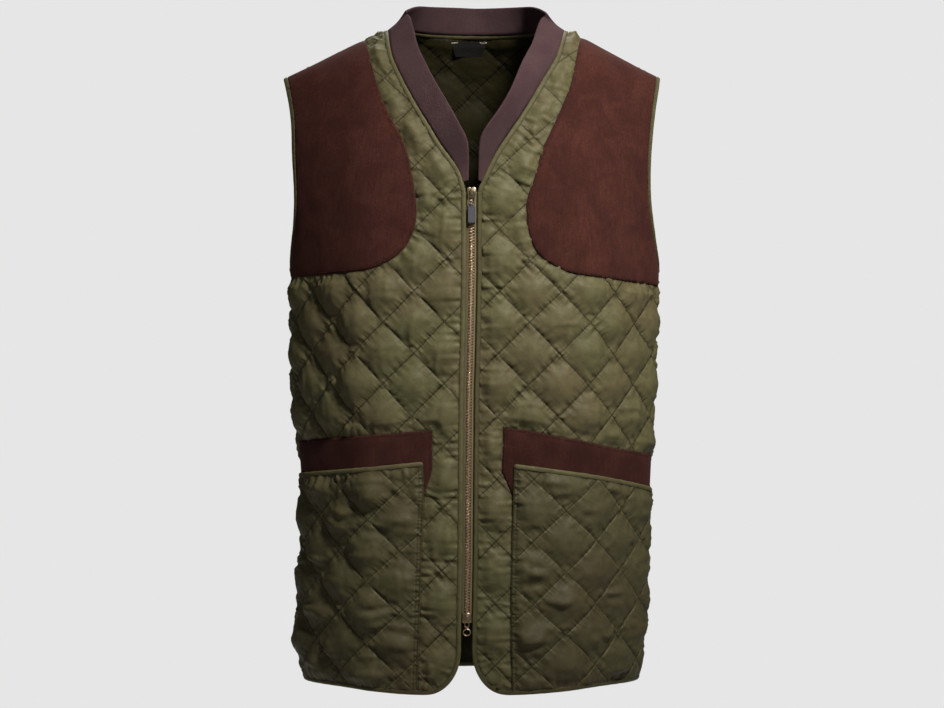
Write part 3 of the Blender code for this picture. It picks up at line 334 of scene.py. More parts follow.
def quarter(turn, width, depth):
    """A quarter of a ring, from the centre line to the side seam: arc length, x and y."""
    share = np.linspace(0, 1, 201)
    angle = np.radians(np.interp(share, *zip(*turn)))
    middle = (angle[1:] + angle[:-1]) / 2
    x = np.concatenate([[0], np.cumsum(np.cos(middle))])
    y = np.concatenate([[0], np.cumsum(np.sin(middle))])
    x *= width / x[-1]
    y *= depth / y[-1]
    arc = np.concatenate([[0], np.cumsum(np.hypot(np.diff(x), np.diff(y)))])
    return arc, x, y


class Cloth:
    """The surface that one face's cloth lies on, on one side of the body."""

    def __init__(self, facing, side):
        self.facing, self.side = facing, side
        self.turn, self.ribs, self.centre = FACES[facing]
        self.u = np.arange(FORM_FROM, FORM_TO, FORM_STEP)
        self.seam_v = np.append(np.arange(FORM_LOW, CHEST - FORM_STEP / 2, FORM_STEP), CHEST)
        rings, self.seam_u = zip(*(self.ring(z) for z in self.seam_v))
        self.points = np.concatenate([rings[:-1], self.rise(rings[-1])])
        up, across = np.gradient(self.points, axis=(0, 1))
        self.normals = unit(np.cross(across, up) * -self.facing * self.side)

    def ring(self, z):
        """The ring's points at one height, and the arc at which it meets the side seam."""
        right, left, middle, front, back = (float(through(BODY, k, z)) for k in range(1, 6))
        cx, near = (middle, front) if self.facing == FORE else (0.0, back)
        width = left - cx if self.side == LEFT else right + cx
        arc, x, y = quarter(self.turn, width, abs(SIDE_Y - near))
        x = np.interp(self.u, arc, x) + np.clip(self.u, None, 0)
        y = np.interp(self.u, arc, y) + np.clip(self.u - arc[-1], 0, None)
        ring = np.stack([cx + self.side * x, near - self.facing * y, np.full_like(x, z)], 1)
        return ring, arc[-1]

    def tops(self):
        """Where each rib ends: on the line of the shoulder seam, carried on across the neck."""
        side, (first, last) = self.side, self.ribs
        neck = np.array([side * NECK_X[side], 0, 0])
        along = (np.array([side * TIP_X[side], 0, TIP_Z]) - neck) / (last - first)
        out = np.array([side, 0, 0])
        t = limited(self.u / first)[:, None]
        inner = (1 + 2 * t) * (1 - t) ** 2 * np.array(self.centre) + t * t * (3 - 2 * t) * neck
        inner += t * (1 - t) ** 2 * first * out + t * t * (t - 1) * first * along
        inner += np.clip(self.u, None, 0)[:, None] * out
        outer = neck + along * (self.u - first)[:, None]
        return np.where((self.u >= first)[:, None], outer, inner)

    def rise(self, start):
        """Ribs from the chest ring up and over to the shoulder, spaced by their length."""
        end = self.tops()
        lift = RIB_LIFT * (end[:, 2] - start[:, 2])
        reach = RIB_ROUND + RIB_REACH * np.abs(end[:, 1] - start[:, 1])
        first = start + lift[:, None] * (0, 0, 1)
        second = end + reach[:, None] * (0, self.facing, 0)
        t = np.linspace(0, 1, 81)[:, None, None]
        rib = (1 - t) ** 3 * start + 3 * t * (1 - t) ** 2 * first
        rib = rib + 3 * t * t * (1 - t) * second + t**3 * end
        step = np.linalg.norm(np.diff(rib, axis=0), axis=2)
        arc = np.concatenate([np.zeros((1, len(self.u))), np.cumsum(step, axis=0)])
        self.top_v = CHEST + arc[-1]
        height = np.arange(0, arc[-1].max() + 5 * FORM_STEP, FORM_STEP)
        block = np.empty((len(height), len(self.u), 3))
        for j in range(len(self.u)):
            over = np.clip(height - arc[-1, j], 0, None)[:, None]
            last = (rib[-1, j] - rib[-2, j]) / step[-1, j]
            block[:, j] = read(height, arc[:, j], rib[:, j]) + over * last
        return block

    def top(self, u):
        return np.interp(np.abs(u), self.u, self.top_v)

    def seam(self, v):
        return np.interp(v, self.seam_v, self.seam_u)

    def sample(self, grid, uv):
        """The grid's values at u, v, evenly between its own points."""
        rows, columns = grid.shape[:2]
        i = np.clip((uv[:, 1] - FORM_LOW) / FORM_STEP, 0, rows - 1.001)
        j = np.clip((uv[:, 0] - FORM_FROM) / FORM_STEP, 0, columns - 1.001)
        i0, j0 = i.astype(int), j.astype(int)
        a, b = (i - i0)[:, None], (j - j0)[:, None]
        low = grid[i0, j0] * (1 - b) + grid[i0, j0 + 1] * b
        high = grid[i0 + 1, j0] * (1 - b) + grid[i0 + 1, j0 + 1] * b
        return low * (1 - a) + high * a

    def normal(self, uv):
        return unit(self.sample(self.normals, uv))

    def at(self, uv, out=0.0):
        """Points at u, v, moved out from the surface by so much."""
        uv = np.atleast_2d(uv)
        points = self.sample(self.points, uv)
        out = np.broadcast_to(np.asarray(out, float), len(uv)) + drape(points)
        return points + self.normal(uv) * out[:, None]


def drape(points):
    """How far the hung cloth wanders in and out from its even form, none of it at the zip."""
    across = points[:, [0, 2]]
    swell = 0.7 * noise(across, (0.075, 0.11), 3) + 0.3 * noise(across, (0.03, 0.045), 4)
    off_zip = limited((np.abs(points[:, 0]) - 0.02) / 0.045)
    return panel().drape * swell * np.where(points[:, 1] < 0, off_zip, 1)


class Back:
    """Both sides of the back as one surface, with u to the wearer's left."""

    def __init__(self):
        self.half = {side: Cloth(REAR, side) for side in SIDES}

    def each(self, uv, what, *more):
        """One of the halves' own functions, with each place given to its half."""
        found = np.empty((len(uv), 3))
        for side, cloth in self.half.items():
            here = (uv[:, 0] >= 0) == (side == LEFT)
            own = np.stack([np.abs(uv[here, 0]), uv[here, 1]], 1)
            found[here] = getattr(cloth, what)(own, *(value[here] for value in more))
        return found

    def normal(self, uv):
        return self.each(uv, "normal")

    def at(self, uv, out=0.0):
        uv = np.atleast_2d(uv)
        return self.each(uv, "at", np.broadcast_to(np.asarray(out, float), len(uv)))


FRONT = {side: Cloth(FORE, side) for side in SIDES}
BACK = Back()


# Plane geometry of the pattern pieces


def spaced(line, step):
    """The same line with its points evenly spaced, about one step apart."""
    line = np.asarray(line, float)
    arc = lengths(line)
    return read(np.linspace(0, arc[-1], max(1, round(arc[-1] / step)) + 1), arc, line)


def smooth(points, step=EDGE):
    """Points about one step apart on a smooth curve through the points given."""
    p = np.array(points, float)
    p = np.vstack([2 * p[0] - p[1], p, 2 * p[-1] - p[-2]])
    fine = []
    for i in range(1, len(p) - 2):
        before, after = p[i + 1] - p[i - 1], p[i + 2] - p[i]
        here = np.linalg.norm(p[i + 1] - p[i])
        before = before * here / (np.linalg.norm(p[i] - p[i - 1]) + here)
        after = after * here / (np.linalg.norm(p[i + 2] - p[i + 1]) + here)
        t = np.linspace(0, 1, 17)[:-1, None]
        curve = (1 + 2 * t) * (1 - t) ** 2 * p[i] + t * t * (3 - 2 * t) * p[i + 1]
        fine.append(curve + t * (1 - t) ** 2 * before + t * t * (t - 1) * after)
    return spaced(np.vstack(fine + [p[-2:-1]]), step)


def joined(*runs):
    """One closed outline from runs that follow on from each other."""
    points = []
    for point in np.vstack(runs):
        if not points or np.linalg.norm(point - points[-1]) > EDGE / 4:
            points.append(point)
    if np.linalg.norm(points[0] - points[-1]) < EDGE / 4:
        points.pop()
    return np.array(points)


def closed(outline):
    return np.vstack([outline, outline[:1]])


def inside(outline, points):
    """Which points lie inside an outline."""
    order = np.argsort(points[:, 1])
    x, y = points[order].T
    odd = np.zeros(len(points), bool)
    for a, b in zip(outline, np.roll(outline, -1, axis=0)):
        i, j = np.searchsorted(y, sorted((a[1], b[1])))
        if j > i:
            odd[i:j] ^= x[i:j] < a[0] + (y[i:j] - a[1]) * (b[0] - a[0]) / (b[1] - a[1])
    found = np.empty(len(points), bool)
    found[order] = odd
    return found


def covered(covers, points):
    """Which points lie inside any of some outlines."""
    found = np.zeros(len(points), bool)
    for cover in covers:
        found |= inside(cover, points)
    return found


def near(lines, points):
    """How far each point lies from the nearest line, and the length along it to the nearest place."""
    lines = [spaced(line, NEAR_STEP) for line in lines]
    tree = KDTree(sum(len(line) for line in lines))
    along = np.concatenate([k + np.arange(len(line)) * NEAR_STEP for k, line in enumerate(lines)])
    for k, (u, v) in enumerate(np.vstack(lines)):
        tree.insert((u, v, 0), k)
    tree.balance()
    found = [tree.find((u, v, 0))[1:] for u, v in points]
    index, away = (np.array(column) for column in zip(*found))
    return away, along[index]


def beside(lines, outline):
    """Rows of points along both sides of some lines, so that the cloth next to them bends evenly."""
    rows = []
    for line in lines:
        line = spaced(line, 0.0016)
        out = rightward(line)
        rows += [line + out * away for away in (-BESIDE[1], -BESIDE[0], BESIDE[0], BESIDE[1])]
    rows = np.vstack(rows)
    rows = rows[inside(outline, rows)]
    return rows[near(lines, rows)[0] > 0.97 * BESIDE[0]]


class Quilting:
    """Diamond quilting: its two sets of lines cross at one named place."""

    def __init__(self, at, wide=QUILT_WIDE, high=QUILT_HIGH):
        self.at, self.wide, self.high = np.array(at), wide, high
        self.apart = 1 / math.hypot(1 / wide, 1 / high)

    def count(self, uv):
        """How many lines of each slant a place is past."""
        du, dv = ((uv - self.at) / (self.wide, self.high)).T
        return du + dv, du - dv

    def place(self, a, b):
        return self.at + np.stack([(a + b) / 2 * self.wide, (a - b) / 2 * self.high], 1)

    def reach(self, outline):
        """The lines of each slant that may cross an outline."""
        ends = outline.min(axis=0), outline.max(axis=0)
        a, b = self.count(np.array([(one[0], other[1]) for one in ends for other in ends]))
        return math.floor(min(a.min(), b.min())), math.ceil(max(a.max(), b.max()))

    def dots(self, outline, cells):
        """The points of a grid that follows the quilting lines, so many cells to a diamond."""
        low, high = self.reach(outline)
        steps = np.arange(low * cells, high * cells + 1) / cells
        steps -= 0.4 * np.sin(math.tau * steps) / math.tau
        a, b = (grid.ravel() for grid in np.meshgrid(steps, steps))
        uv = self.place(a, b)
        box = (uv > outline.min(axis=0)) & (uv < outline.max(axis=0))
        return uv[box.all(axis=1)]

    def stitches(self, outline, pitch):
        """Places along every quilting line, one stitch apart, with the line's direction."""
        low, high = self.reach(outline)
        run = np.arange(low, high, pitch / self.apart)
        places, ways = [], []
        for k in range(low, high + 1):
            fixed = np.full(len(run), float(k))
            places += [self.place(fixed, run), self.place(run, fixed)]
            ways += [np.tile((1.0, way), (len(run), 1)) for way in (-1.0, 1.0)]
        return np.vstack(places), np.vstack(ways) * (self.wide, self.high)


class Padding:
    """The raised cloth of one quilted piece, between its quilting lines and its edges."""

    def __init__(self, quilt, edges, seed, upright=0.6, level=0.5, full=1.0):
        self.quilt, self.edges, self.seed = quilt, edges, seed
        self.upright, self.level, self.full = upright, level, full

    def shifted(self, uv, away):
        """The places with the small wander that sewing gives to straight lines."""
        wander = np.stack([noise(uv, 0.048, self.seed + k) for k in (0, 1)], 1)
        return uv + 0.0011 * wander * limited(away / 0.02)[:, None]

    def height(self, uv, away, along):
        """How far the cloth stands up, and its share of painted shade from 0 to 1: how near it is to a line
        of stitches, or how strong a gather beside an edge is.
        """
        cloth, seed = panel(), self.seed
        a, b = self.quilt.count(uv)
        each = np.stack([np.floor(a), np.floor(b)], 1) * 2.3
        dome = np.abs(np.sin(np.pi * a) * np.sin(np.pi * b))
        fade = limited((away - 0.0003) / EDGE_FADE) ** 0.85
        height = self.full * cloth.puff * (1 + 0.12 * noise(each, 1.0, seed + 2)) * dome**DOME_POWER * fade

        bent = uv + 0.004 * np.stack([noise(uv, 0.02, seed + k) for k in (3, 4)], 1)
        for share, size, k in ((self.upright, UPRIGHT_FOLD, 5), (self.level, LEVEL_FOLD, 6)):
            fold = noise(bent, size, seed + k)
            where = limited(0.5 + 1.1 * noise(uv, 0.03, seed + k + 10))
            height += share * cloth.folds * (fold + FOLD_RISE * np.abs(fold)) * where * dome**0.6 * fade

        apart = self.quilt.apart
        crossing = np.exp(-np.hypot(a - np.round(a), b - np.round(b)) * apart / GATHER_REACH)
        for this, other in ((a, b), (b, a)):
            off = np.abs(this - np.round(this)) * apart
            at = np.stack([other * apart, np.round(this) * 0.31], 1)
            beside_line = np.exp(-off / 0.0075) * (1 - np.exp(-off / 0.0018))
            gather = noise(at, LINE_GATHER, seed + 7)
            height += cloth.pucker * gather * beside_line * (1 + 1.5 * crossing) * fade
        gather = noise_along(along, EDGE_GATHER, seed + 8)
        height += 1.8 * cloth.pucker * gather * np.exp(-away / GATHER_REACH) * limited(away / 0.0025)
        # Painted shade in the gathers beside an edge.
        drawn = limited(1.6 * gather) * limited(1 - away / 0.007)
        return np.clip(height, 0, None), np.maximum(self.full * limited(1 - away / 0.003), 0.8 * drawn)


class Piece:
    """A flat pattern piece cut into triangles whose edges follow its lines."""

    def __init__(self, outline, lines=(), dots=(), margin=EDGE / 2):
        outline = np.asarray(outline)
        dots = np.asarray(dots, float).reshape(-1, 2)
        walls = [closed(outline), *lines]
        if len(dots):
            dots = dots[inside(outline, dots)]
        if len(dots):
            dots = dots[near(walls, dots)[0] > margin]
        edges, start = [], len(outline)
        for line in lines:
            edges += [(start + k, start + k + 1) for k in range(len(line) - 1)]
            start += len(line)
        flat = [Vector((float(u) * 1000, float(v) * 1000)) for u, v in np.vstack([outline, *lines, dots])]
        made = delaunay_2d_cdt(flat, edges, [list(range(len(outline)))], 1, 1e-4, False)
        self.uv = np.array(made[0]) / 1000
        faces = np.array(made[2])
        a, b, c = (self.uv[faces[:, k]] for k in range(3))
        area = (b[:, 0] - a[:, 0]) * (c[:, 1] - a[:, 1]) - (b[:, 1] - a[:, 1]) * (c[:, 0] - a[:, 0])
        faces[area < 0] = faces[area < 0][:, ::-1]
        faces = faces[np.abs(area) > 1e-12]
        self.faces = faces[inside(outline, self.uv[faces].mean(axis=1))]

    def part(self, outline):
        """The triangles inside an outline, as a piece of their own."""
        other = object.__new__(Piece)
        faces = self.faces[inside(outline, self.uv[self.faces].mean(axis=1))]
        used, index = np.unique(faces, return_inverse=True)
        other.uv = self.uv[used]
        other.faces = index.reshape(-1, 3)
        return other

    def rim(self):
        """The outline's edges, each with the cloth on its left."""
        edges = np.concatenate([self.faces[:, [0, 1]], self.faces[:, [1, 2]], self.faces[:, [2, 0]]])
        low, high = np.sort(edges, axis=1).T
        _, first, count = np.unique(low * len(self.uv) + high, return_index=True, return_counts=True)
        return edges[first[count == 1]]

    def loop(self):
        """The outline as a ring of points, in order."""
        after = {int(a): int(b) for a, b in self.rim()}
        start = next(iter(after))
        ring, here = [start], after[start]
        while here != start:
            ring.append(here)
            here = after[here]
        return self.uv[ring]


# Meshes


def reworked(mesh, change):
    """Makes one change to a mesh in Blender's own mesh editor."""
    work = bmesh.new()
    work.from_mesh(mesh)
    change(work)
    work.to_mesh(mesh)
    work.free()


def add(name, points, faces, finishes, **values):
    """A named object from points and faces, facing outwards, with values kept at its points."""
    mesh = bpy.data.meshes.new(name)
    mesh.from_pydata(np.asarray(points).tolist(), [], [list(map(int, face)) for face in faces])
    reworked(mesh, lambda work: bmesh.ops.recalc_face_normals(work, faces=work.faces))
    mesh.shade_smooth()
    for finish in np.atleast_1d(finishes):
        mesh.materials.append(bpy.data.materials[finish])
    for key, value in values.items():
        value = np.asarray(value, np.float32)
        flat = value.ndim == 1
        layer = mesh.attributes.new(key, "FLOAT" if flat else "FLOAT_VECTOR", "POINT")
        layer.data.foreach_set("value" if flat else "vector", value.ravel())
    return placed(name, mesh)


def placed(name, data, at=(0, 0, 0), towards=None):
    """An object in the scene at its place, with its -Z towards somewhere if it looks or shines."""
    obj = bpy.data.objects.new(name, data)
    obj.location = at
    if towards:
        obj.rotation_euler = Vector(towards).to_track_quat("-Z", "Y").to_euler()
    bpy.context.scene.collection.objects.link(obj)
    return obj


def worn(obj, slot, *nodes, body="garment"):
    """The piece rides on its body and stands for its solids; its slot is not used."""
    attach(obj, body)
    if nodes:
        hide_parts(*nodes)
    return obj


def wall(name, cloth, outer, outer_at, outer_out, inner, inner_at, inner_out, finishes, seam,
         quilt=None):
    """Cloth between two faces that share an outline, moved out from the surface by so much.
    Its inner face takes the last of the finishes."""
    top = cloth.at(outer_at, outer_out)
    bottom = cloth.at(inner_at, inner_out)
    key = {tuple(np.round(p, 6)): k for k, p in enumerate(inner.uv)}
    rim = outer.rim()
    below = {a: key[tuple(np.round(outer.uv[a], 6))] + len(top) for a, _ in rim}
    faces = [*outer.faces.tolist(), *(inner.faces[:, ::-1] + len(top)).tolist()]
    for a, b in rim:
        faces += [(b, a, below[a]), (b, below[a], below[b])]
    place = np.vstack([outer.uv, inner.uv])
    place = np.hstack([place, np.zeros((len(place), 1))])
    # The seam values are the share of painted shade that the cloth's materials lay on.
    seam = np.concatenate([seam, np.zeros(len(place) - len(seam))])
    lines = 0 * place + 0.5
    if quilt:
        lines[:, 0], lines[:, 1] = quilt.count(place[:, :2])
    obj = add(name, np.vstack([top, bottom]), faces, finishes, cloth=place, seam=seam, quilt=lines)
    if not isinstance(finishes, str):
        within = np.zeros(len(faces), int)
        within[len(outer.faces) : len(outer.faces) + len(inner.faces)] = 1
        obj.data.polygons.foreach_set("material_index", within)
    return obj


def lofted(rings, ends=True):
    """Points and faces through rings of equally many points: a run with its ends shut, or a loop."""
    rings = np.asarray(rings)
    count, around = rings.shape[:2]
    faces = []
    for i in range(count - 1 if ends else count):
        start, after = i * around, (i + 1) % count * around
        faces += [(start + k, start + (k + 1) % around, after + (k + 1) % around, after + k)
                  for k in range(around)]
    if ends:
        faces += [list(range(around))[::-1], [(count - 1) * around + k for k in range(around)]]
    return rings.reshape(-1, 3), faces


def sharp(obj, angle):
    """The object with its edges kept sharp where its faces turn by more than so many degrees."""
    obj.data.set_sharp_from_angle(angle=math.radians(angle))
    return obj


def mapped(rings, along, across):
    """Where the points of a loft lie on its strip of cloth: how far along it and across it."""
    place = np.zeros(rings.shape)
    place[..., 0] = along[:, None]
    place[..., 1] = across
    return place.reshape(-1, 3)


def metal(name, solids, place, finishes, bevel=0.0, angle=35):
    """Small hardware from lofted solids, at its place, its edges rounded and its broad faces flat."""
    points, faces = np.zeros((0, 3)), []
    for own, shape in solids:
        faces += [[len(points) + k for k in face] for face in shape]
        points = np.vstack([points, own])
    obj = add(name, points + np.array(place), faces, finishes)
    if bevel:
        rounding = obj.modifiers.new("edges", "BEVEL")
        rounding.width = bevel
        rounding.segments = 3
        rounding.angle_limit = math.radians(angle)
        plain(obj)
    return sharp(obj, angle)


def plain(obj):
    """The object with what its modifiers make as its own mesh."""
    graph = bpy.context.evaluated_depsgraph_get()
    mesh = bpy.data.meshes.new_from_object(obj.evaluated_get(graph))
    obj.modifiers.clear()
    obj.data = mesh
    return obj


# Materials


def node(tree, kind, inputs=None, **settings):
    """Adds one node with its settings, fills its sockets with values or links, and gives its outputs."""
    made = tree.nodes.new(kind)
    for name, value in settings.items():
        setattr(made, name, value)
    for key, value in (inputs or {}).items():
        if isinstance(value, bpy.types.NodeSocket):
            tree.links.new(value, made.inputs[key])
        else:
            made.inputs[key].default_value = value
    return made.outputs


def dimmed(colour, share):
    """The same colour with less light in it."""
    return tuple(part * share for part in colour[:3]) + (1.0,)


def finish(name, sheen=None, **sockets):
    """A new material and its shader, with the values that hold all over the surface."""
    material = bpy.data.materials.new(name)
    material.use_nodes = True
    shader = material.node_tree.nodes["Principled BSDF"]
    for key, value in sockets.items():
        shader.inputs[key.replace("_", " ")].default_value = value
    if sheen:
        shader.inputs["Sheen Tint"].default_value = sheen
    return material.node_tree, shader


def per(millimetres):
    """The scale that gives a texture's features this size on coordinates in metres."""
    return 1000 / millimetres


def bands(millimetres):
    """The scale that gives a wave texture's bands this spacing on coordinates in metres."""
    return math.tau / 20 * 1000 / millimetres


def patterned(tree, *patterns, on=None):
    """Noise on the object or on the places given: each size in mm, how fine, and what else it is set to."""
    on = on or node(tree, "ShaderNodeTexCoord")["Object"]
    made = []
    for size, detail, more in patterns:
        given = {"Vector": on, "Scale": per(size), "Detail": detail, **more}
        made.append(node(tree, "ShaderNodeTexNoise", given)["Fac"])
    return made if len(made) > 1 else made[0]


def surfaced(tree, shader, colour, tones, bumps=(), rough=None):
    """Lays tones over a colour where their patterns rise, and gives it and the bumps to the shader.
    A tone is a pattern, where it starts and ends, how much shows at each, and its colour."""
    for *span, tone in tones:
        share = node(tree, "ShaderNodeMapRange", dict(enumerate(span)))[0]
        colour = node(tree, "ShaderNodeMix", {0: share, 6: colour, 7: tone}, data_type="RGBA")[2]
    tree.links.new(colour, shader.inputs["Base Color"])
    if rough:
        tree.links.new(node(tree, "ShaderNodeMapRange", dict(enumerate(rough)))[0],
                       shader.inputs["Roughness"])
    bump = {}
    for height, strength, distance in bumps:
        given = {"Height": height, "Strength": strength, "Distance": distance, **bump}
        bump = {"Normal": node(tree, "ShaderNodeBump", given)["Normal"]}
        tree.links.new(bump["Normal"], shader.inputs["Normal"])


def satin(name, main, drift, dark, light, rough, crease_shade=0.0, ridge_highlight=0.0):
    """Woven polyester satin over wadding: a soft sheen, a weave too fine to see, colour that drifts
    between greener and browner, painted shade along its stitched lines and a painted highlight below them."""
    tree, shader = finish(name, main, Specular_IOR_Level=0.12, Sheen_Weight=0.12, Sheen_Roughness=0.45)
    weave = node(tree, "ShaderNodeAttribute", attribute_name="cloth")["Vector"]
    seam = node(tree, "ShaderNodeAttribute", attribute_name="seam")["Fac"]
    broad, fine = patterned(tree, (95, 2.0, {}), (9, 4.0, {}))
    rumple, crinkle = patterned(tree, (6.5, 3.0, {}), (3.4, 2.0, {}), on=weave)
    # Threads are 0.15 mm apart in the real satin, and drawn here every 0.6 mm so that they show
    threads = node(tree, "ShaderNodeTexWave", {"Vector": weave, "Scale": bands(0.6), "Distortion": 0.6,
                                               "Detail": 1.0}, bands_direction="DIAGONAL")["Fac"]
    beside_seam = node(tree, "ShaderNodeMapRange", {0: seam, 1: 0.05, 2: 0.8})[0]
    gathered = node(tree, "ShaderNodeMath", {0: crinkle, 1: beside_seam}, operation="MULTIPLY")[0]
    # The seam value lays painted shade along the cloth's edges, its stitched lines and the gathers beside
    # them; the fine noise is the satin's own mottle.
    tones = [(broad, 0.4, 0.62, 0.0, 1.0, drift), (fine, 0.35, 0.75, 0.0, 0.35, dark),
             (seam, 0.3, 1.0, 0.0, 0.62, dark)]
    bumps = [(threads, 0.05, 0.0002), (rumple, 0.35, 0.0012), (gathered, 0.6, 0.0012)]
    if crease_shade:
        lines = node(tree, "ShaderNodeAttribute", attribute_name="quilt")["Vector"]
        count = node(tree, "ShaderNodeSeparateXYZ", {"Vector": lines})
        off, below = {}, {}
        for axis, side in (("X", RIDGE_BELOW), ("Y", -RIDGE_BELOW)):
            off[axis] = node(tree, "ShaderNodeMath", {0: count[axis], 1: 0.5}, operation="PINGPONG")[0]
            moved = node(tree, "ShaderNodeMath", {0: count[axis], 1: side}, operation="ADD")[0]
            below[axis] = node(tree, "ShaderNodeMath", {0: moved, 1: 0.5}, operation="PINGPONG")[0]
        line, lit = (node(tree, "ShaderNodeMath", {0: way["X"], 1: way["Y"]}, operation="MINIMUM")[0]
                     for way in (off, below))
        # Painted shade on and just beside each quilting line, and a painted highlight on the cloth just
        # below it.
        tones += [(line, 0.0, 0.1, 0.2, 0.0, dark), (lit, 0.006, 0.022, ridge_highlight, 0.0, light),
                  (line, 0.006, 0.024, crease_shade, 0.0, dark)]
        for this, other in (("X", "Y"), ("Y", "X")):
            which = node(tree, "ShaderNodeMath", {0: count[this]}, operation="ROUND")[0]
            place = node(tree, "ShaderNodeCombineXYZ", {"X": which, "Y": count[other]})["Vector"]
            place = node(tree, "ShaderNodeVectorMath", {0: place, 1: GATHER_DRAWN},
                         operation="MULTIPLY")["Vector"]
            drawn = node(tree, "ShaderNodeTexNoise", {"Vector": place, "Scale": 1.0, "Detail": 1.0})["Fac"]
            reach = node(tree, "ShaderNodeMapRange", {0: off[this], 1: 0.0, 2: 0.19})[0]
            reach = node(tree, "ShaderNodeMath", {0: 1.0, 1: reach}, operation="SUBTRACT")[0]
            height = node(tree, "ShaderNodeMath", {0: drawn, 1: reach}, operation="MULTIPLY")[0]
            bumps.append((height, 0.9, 0.0024))
    surfaced(tree, shader, main, tones, bumps, (fine, 0.3, 0.7, rough - 0.05, rough + 0.07))


def suede(name, main, light, dark):
    """Brushed split leather: a matt nap that lies in patches, lighter where it is stroked up, with painted
    shade along its stitched groove.
    """
    tree, shader = finish(name, light, Roughness=0.95, Specular_IOR_Level=0.22, Sheen_Weight=0.35,
                          Sheen_Roughness=0.6)
    spot = node(tree, "ShaderNodeTexCoord")["Object"]
    lying = node(tree, "ShaderNodeMapping", {"Vector": spot, "Scale": (1.0, 1.0, 0.16)})["Vector"]
    sewn = node(tree, "ShaderNodeAttribute", attribute_name="seam")["Fac"]
    nap, patch = patterned(tree, (2.2, 6.0, {"Roughness": 0.75}), (32, 5.0, {"Distortion": 0.6}), on=spot)
    streak = patterned(tree, (2.6, 3.0, {}), on=lying)
    # The sewn value lays painted shade along the stitched groove.
    surfaced(tree, shader, main, (
        (patch, 0.38, 0.66, 0.0, 1.0, light), (streak, 0.35, 0.65, 0.35, 0.0, dark),
        (nap, 0.35, 0.7, 0.6, 0.0, dark), (sewn, 0.1, 1.0, 0.0, 0.75, dark)), [(nap, 0.5, 0.0006)])


def knit(name, main, dark):
    """Fine wool-mix rib knit: matt and soft, with rows of small loops across each rib and painted shade
    between the ribs.
    """
    tree, shader = finish(name, main, Roughness=0.95, Specular_IOR_Level=0.1, Sheen_Weight=0.2,
                          Sheen_Roughness=0.6)
    loops_at = node(tree, "ShaderNodeAttribute", attribute_name="cloth")["Vector"]
    rib = node(tree, "ShaderNodeAttribute", attribute_name="seam")["Fac"]
    # Loops are 1 mm high, and drawn at 1.3 mm so that the rows still show
    loops = node(tree, "ShaderNodeTexWave", {"Vector": loops_at, "Scale": bands(1.3), "Distortion": 1.2,
                                             "Detail": 2.0, "Detail Scale": 2.0}, bands_direction="Y")["Fac"]
    fuzz, broad = patterned(tree, (1.6, 5.0, {}), (28, 3.0, {}))
    # The rib value lays painted shade in the valleys between the ribs.
    surfaced(tree, shader, main, (
        (broad, 0.35, 0.68, 0.0, 0.35, dark), (fuzz, 0.4, 0.7, 0.0, 0.4, dark),
        (rib, 0.3, 1.0, 0.0, 0.45, dark)), [(loops, 0.3, 0.0004), (fuzz, 0.35, 0.0005)])


def tape(name, main, dark, pitch):
    """Woven twill tape: matt, with close diagonal ribs in two tones."""
    tree, shader = finish(name, Roughness=0.85, Specular_IOR_Level=0.25, Sheen_Weight=0.1)
    weave = node(tree, "ShaderNodeAttribute", attribute_name="cloth")["Vector"]
    twill = node(tree, "ShaderNodeTexWave", {"Vector": weave, "Scale": bands(pitch), "Distortion": 0.4},
                 bands_direction="DIAGONAL")["Fac"]
    soil = patterned(tree, (14, 3.0, {}), on=weave)
    surfaced(tree, shader, main, ((twill, 0.2, 0.8, 0.0, 0.5, dark), (soil, 0.4, 0.7, 0.0, 0.4, dark)),
             [(twill, 0.5, 0.0003)])


# The plainer materials: even values, the pattern's size in mm and detail, where the second colour
# starts and ends on it and how much shows, the bump's strength, and how far the roughness moves
PLAINER = {
    # Antiqued brass: bright where it is rubbed, brown where the patina stays in its hollows
    "brass": ({"Metallic": 1.0}, 1.6, 4.0, 0.42, 0.62, 0.55, 0.15, -0.06, 0.14),
    # Stoved enamel on a cast tab: even and satin, with a little of the cast surface showing
    "enamel": ({"Specular_IOR_Level": 0.5, "Coat_Weight": 0.15, "Coat_Roughness": 0.3},
               0.9, 3.0, 0.4, 0.7, 0.5, 0.12, -0.05, 0.1),
    # Spun sewing thread: two plies that turn round each other, with little shine
    "thread": ({"Roughness": 0.7, "Specular_IOR_Level": 0.3}, 0.7, 1.0, 0.35, 0.65, 0.6, 0, 0, 0),
    # A matt painted studio floor, very faintly mottled so that it isn't one flat tone
    "paint": ({"Roughness": 0.85, "Specular_IOR_Level": 0.2}, 400, 2.0, 0.0, 1.0, 1.0, 0, 0, 0),
}


def plainer(name, kind, main, second, rough=None):
    """Metal, enamel, thread or paint, in two tones."""
    even, size, detail, start, end, most, strength, less, more = PLAINER[kind]
    tree, shader = finish(name, **even)
    grain = patterned(tree, (size, detail, {}))
    tones = [(grain, start, end, 0.0, most, second)]
    if kind == "brass":
        hollow = node(tree, "ShaderNodeNewGeometry")["Pointiness"]
        tones.append((hollow, 0.42, 0.5, 0.7, 0.0, second))
    surfaced(tree, shader, main, tones, [(grain, strength, 0.0001)] if strength else (),
             rough and (grain, 0.3, 0.7, rough + less, rough + more))


# Rows that Geometry Nodes repeat


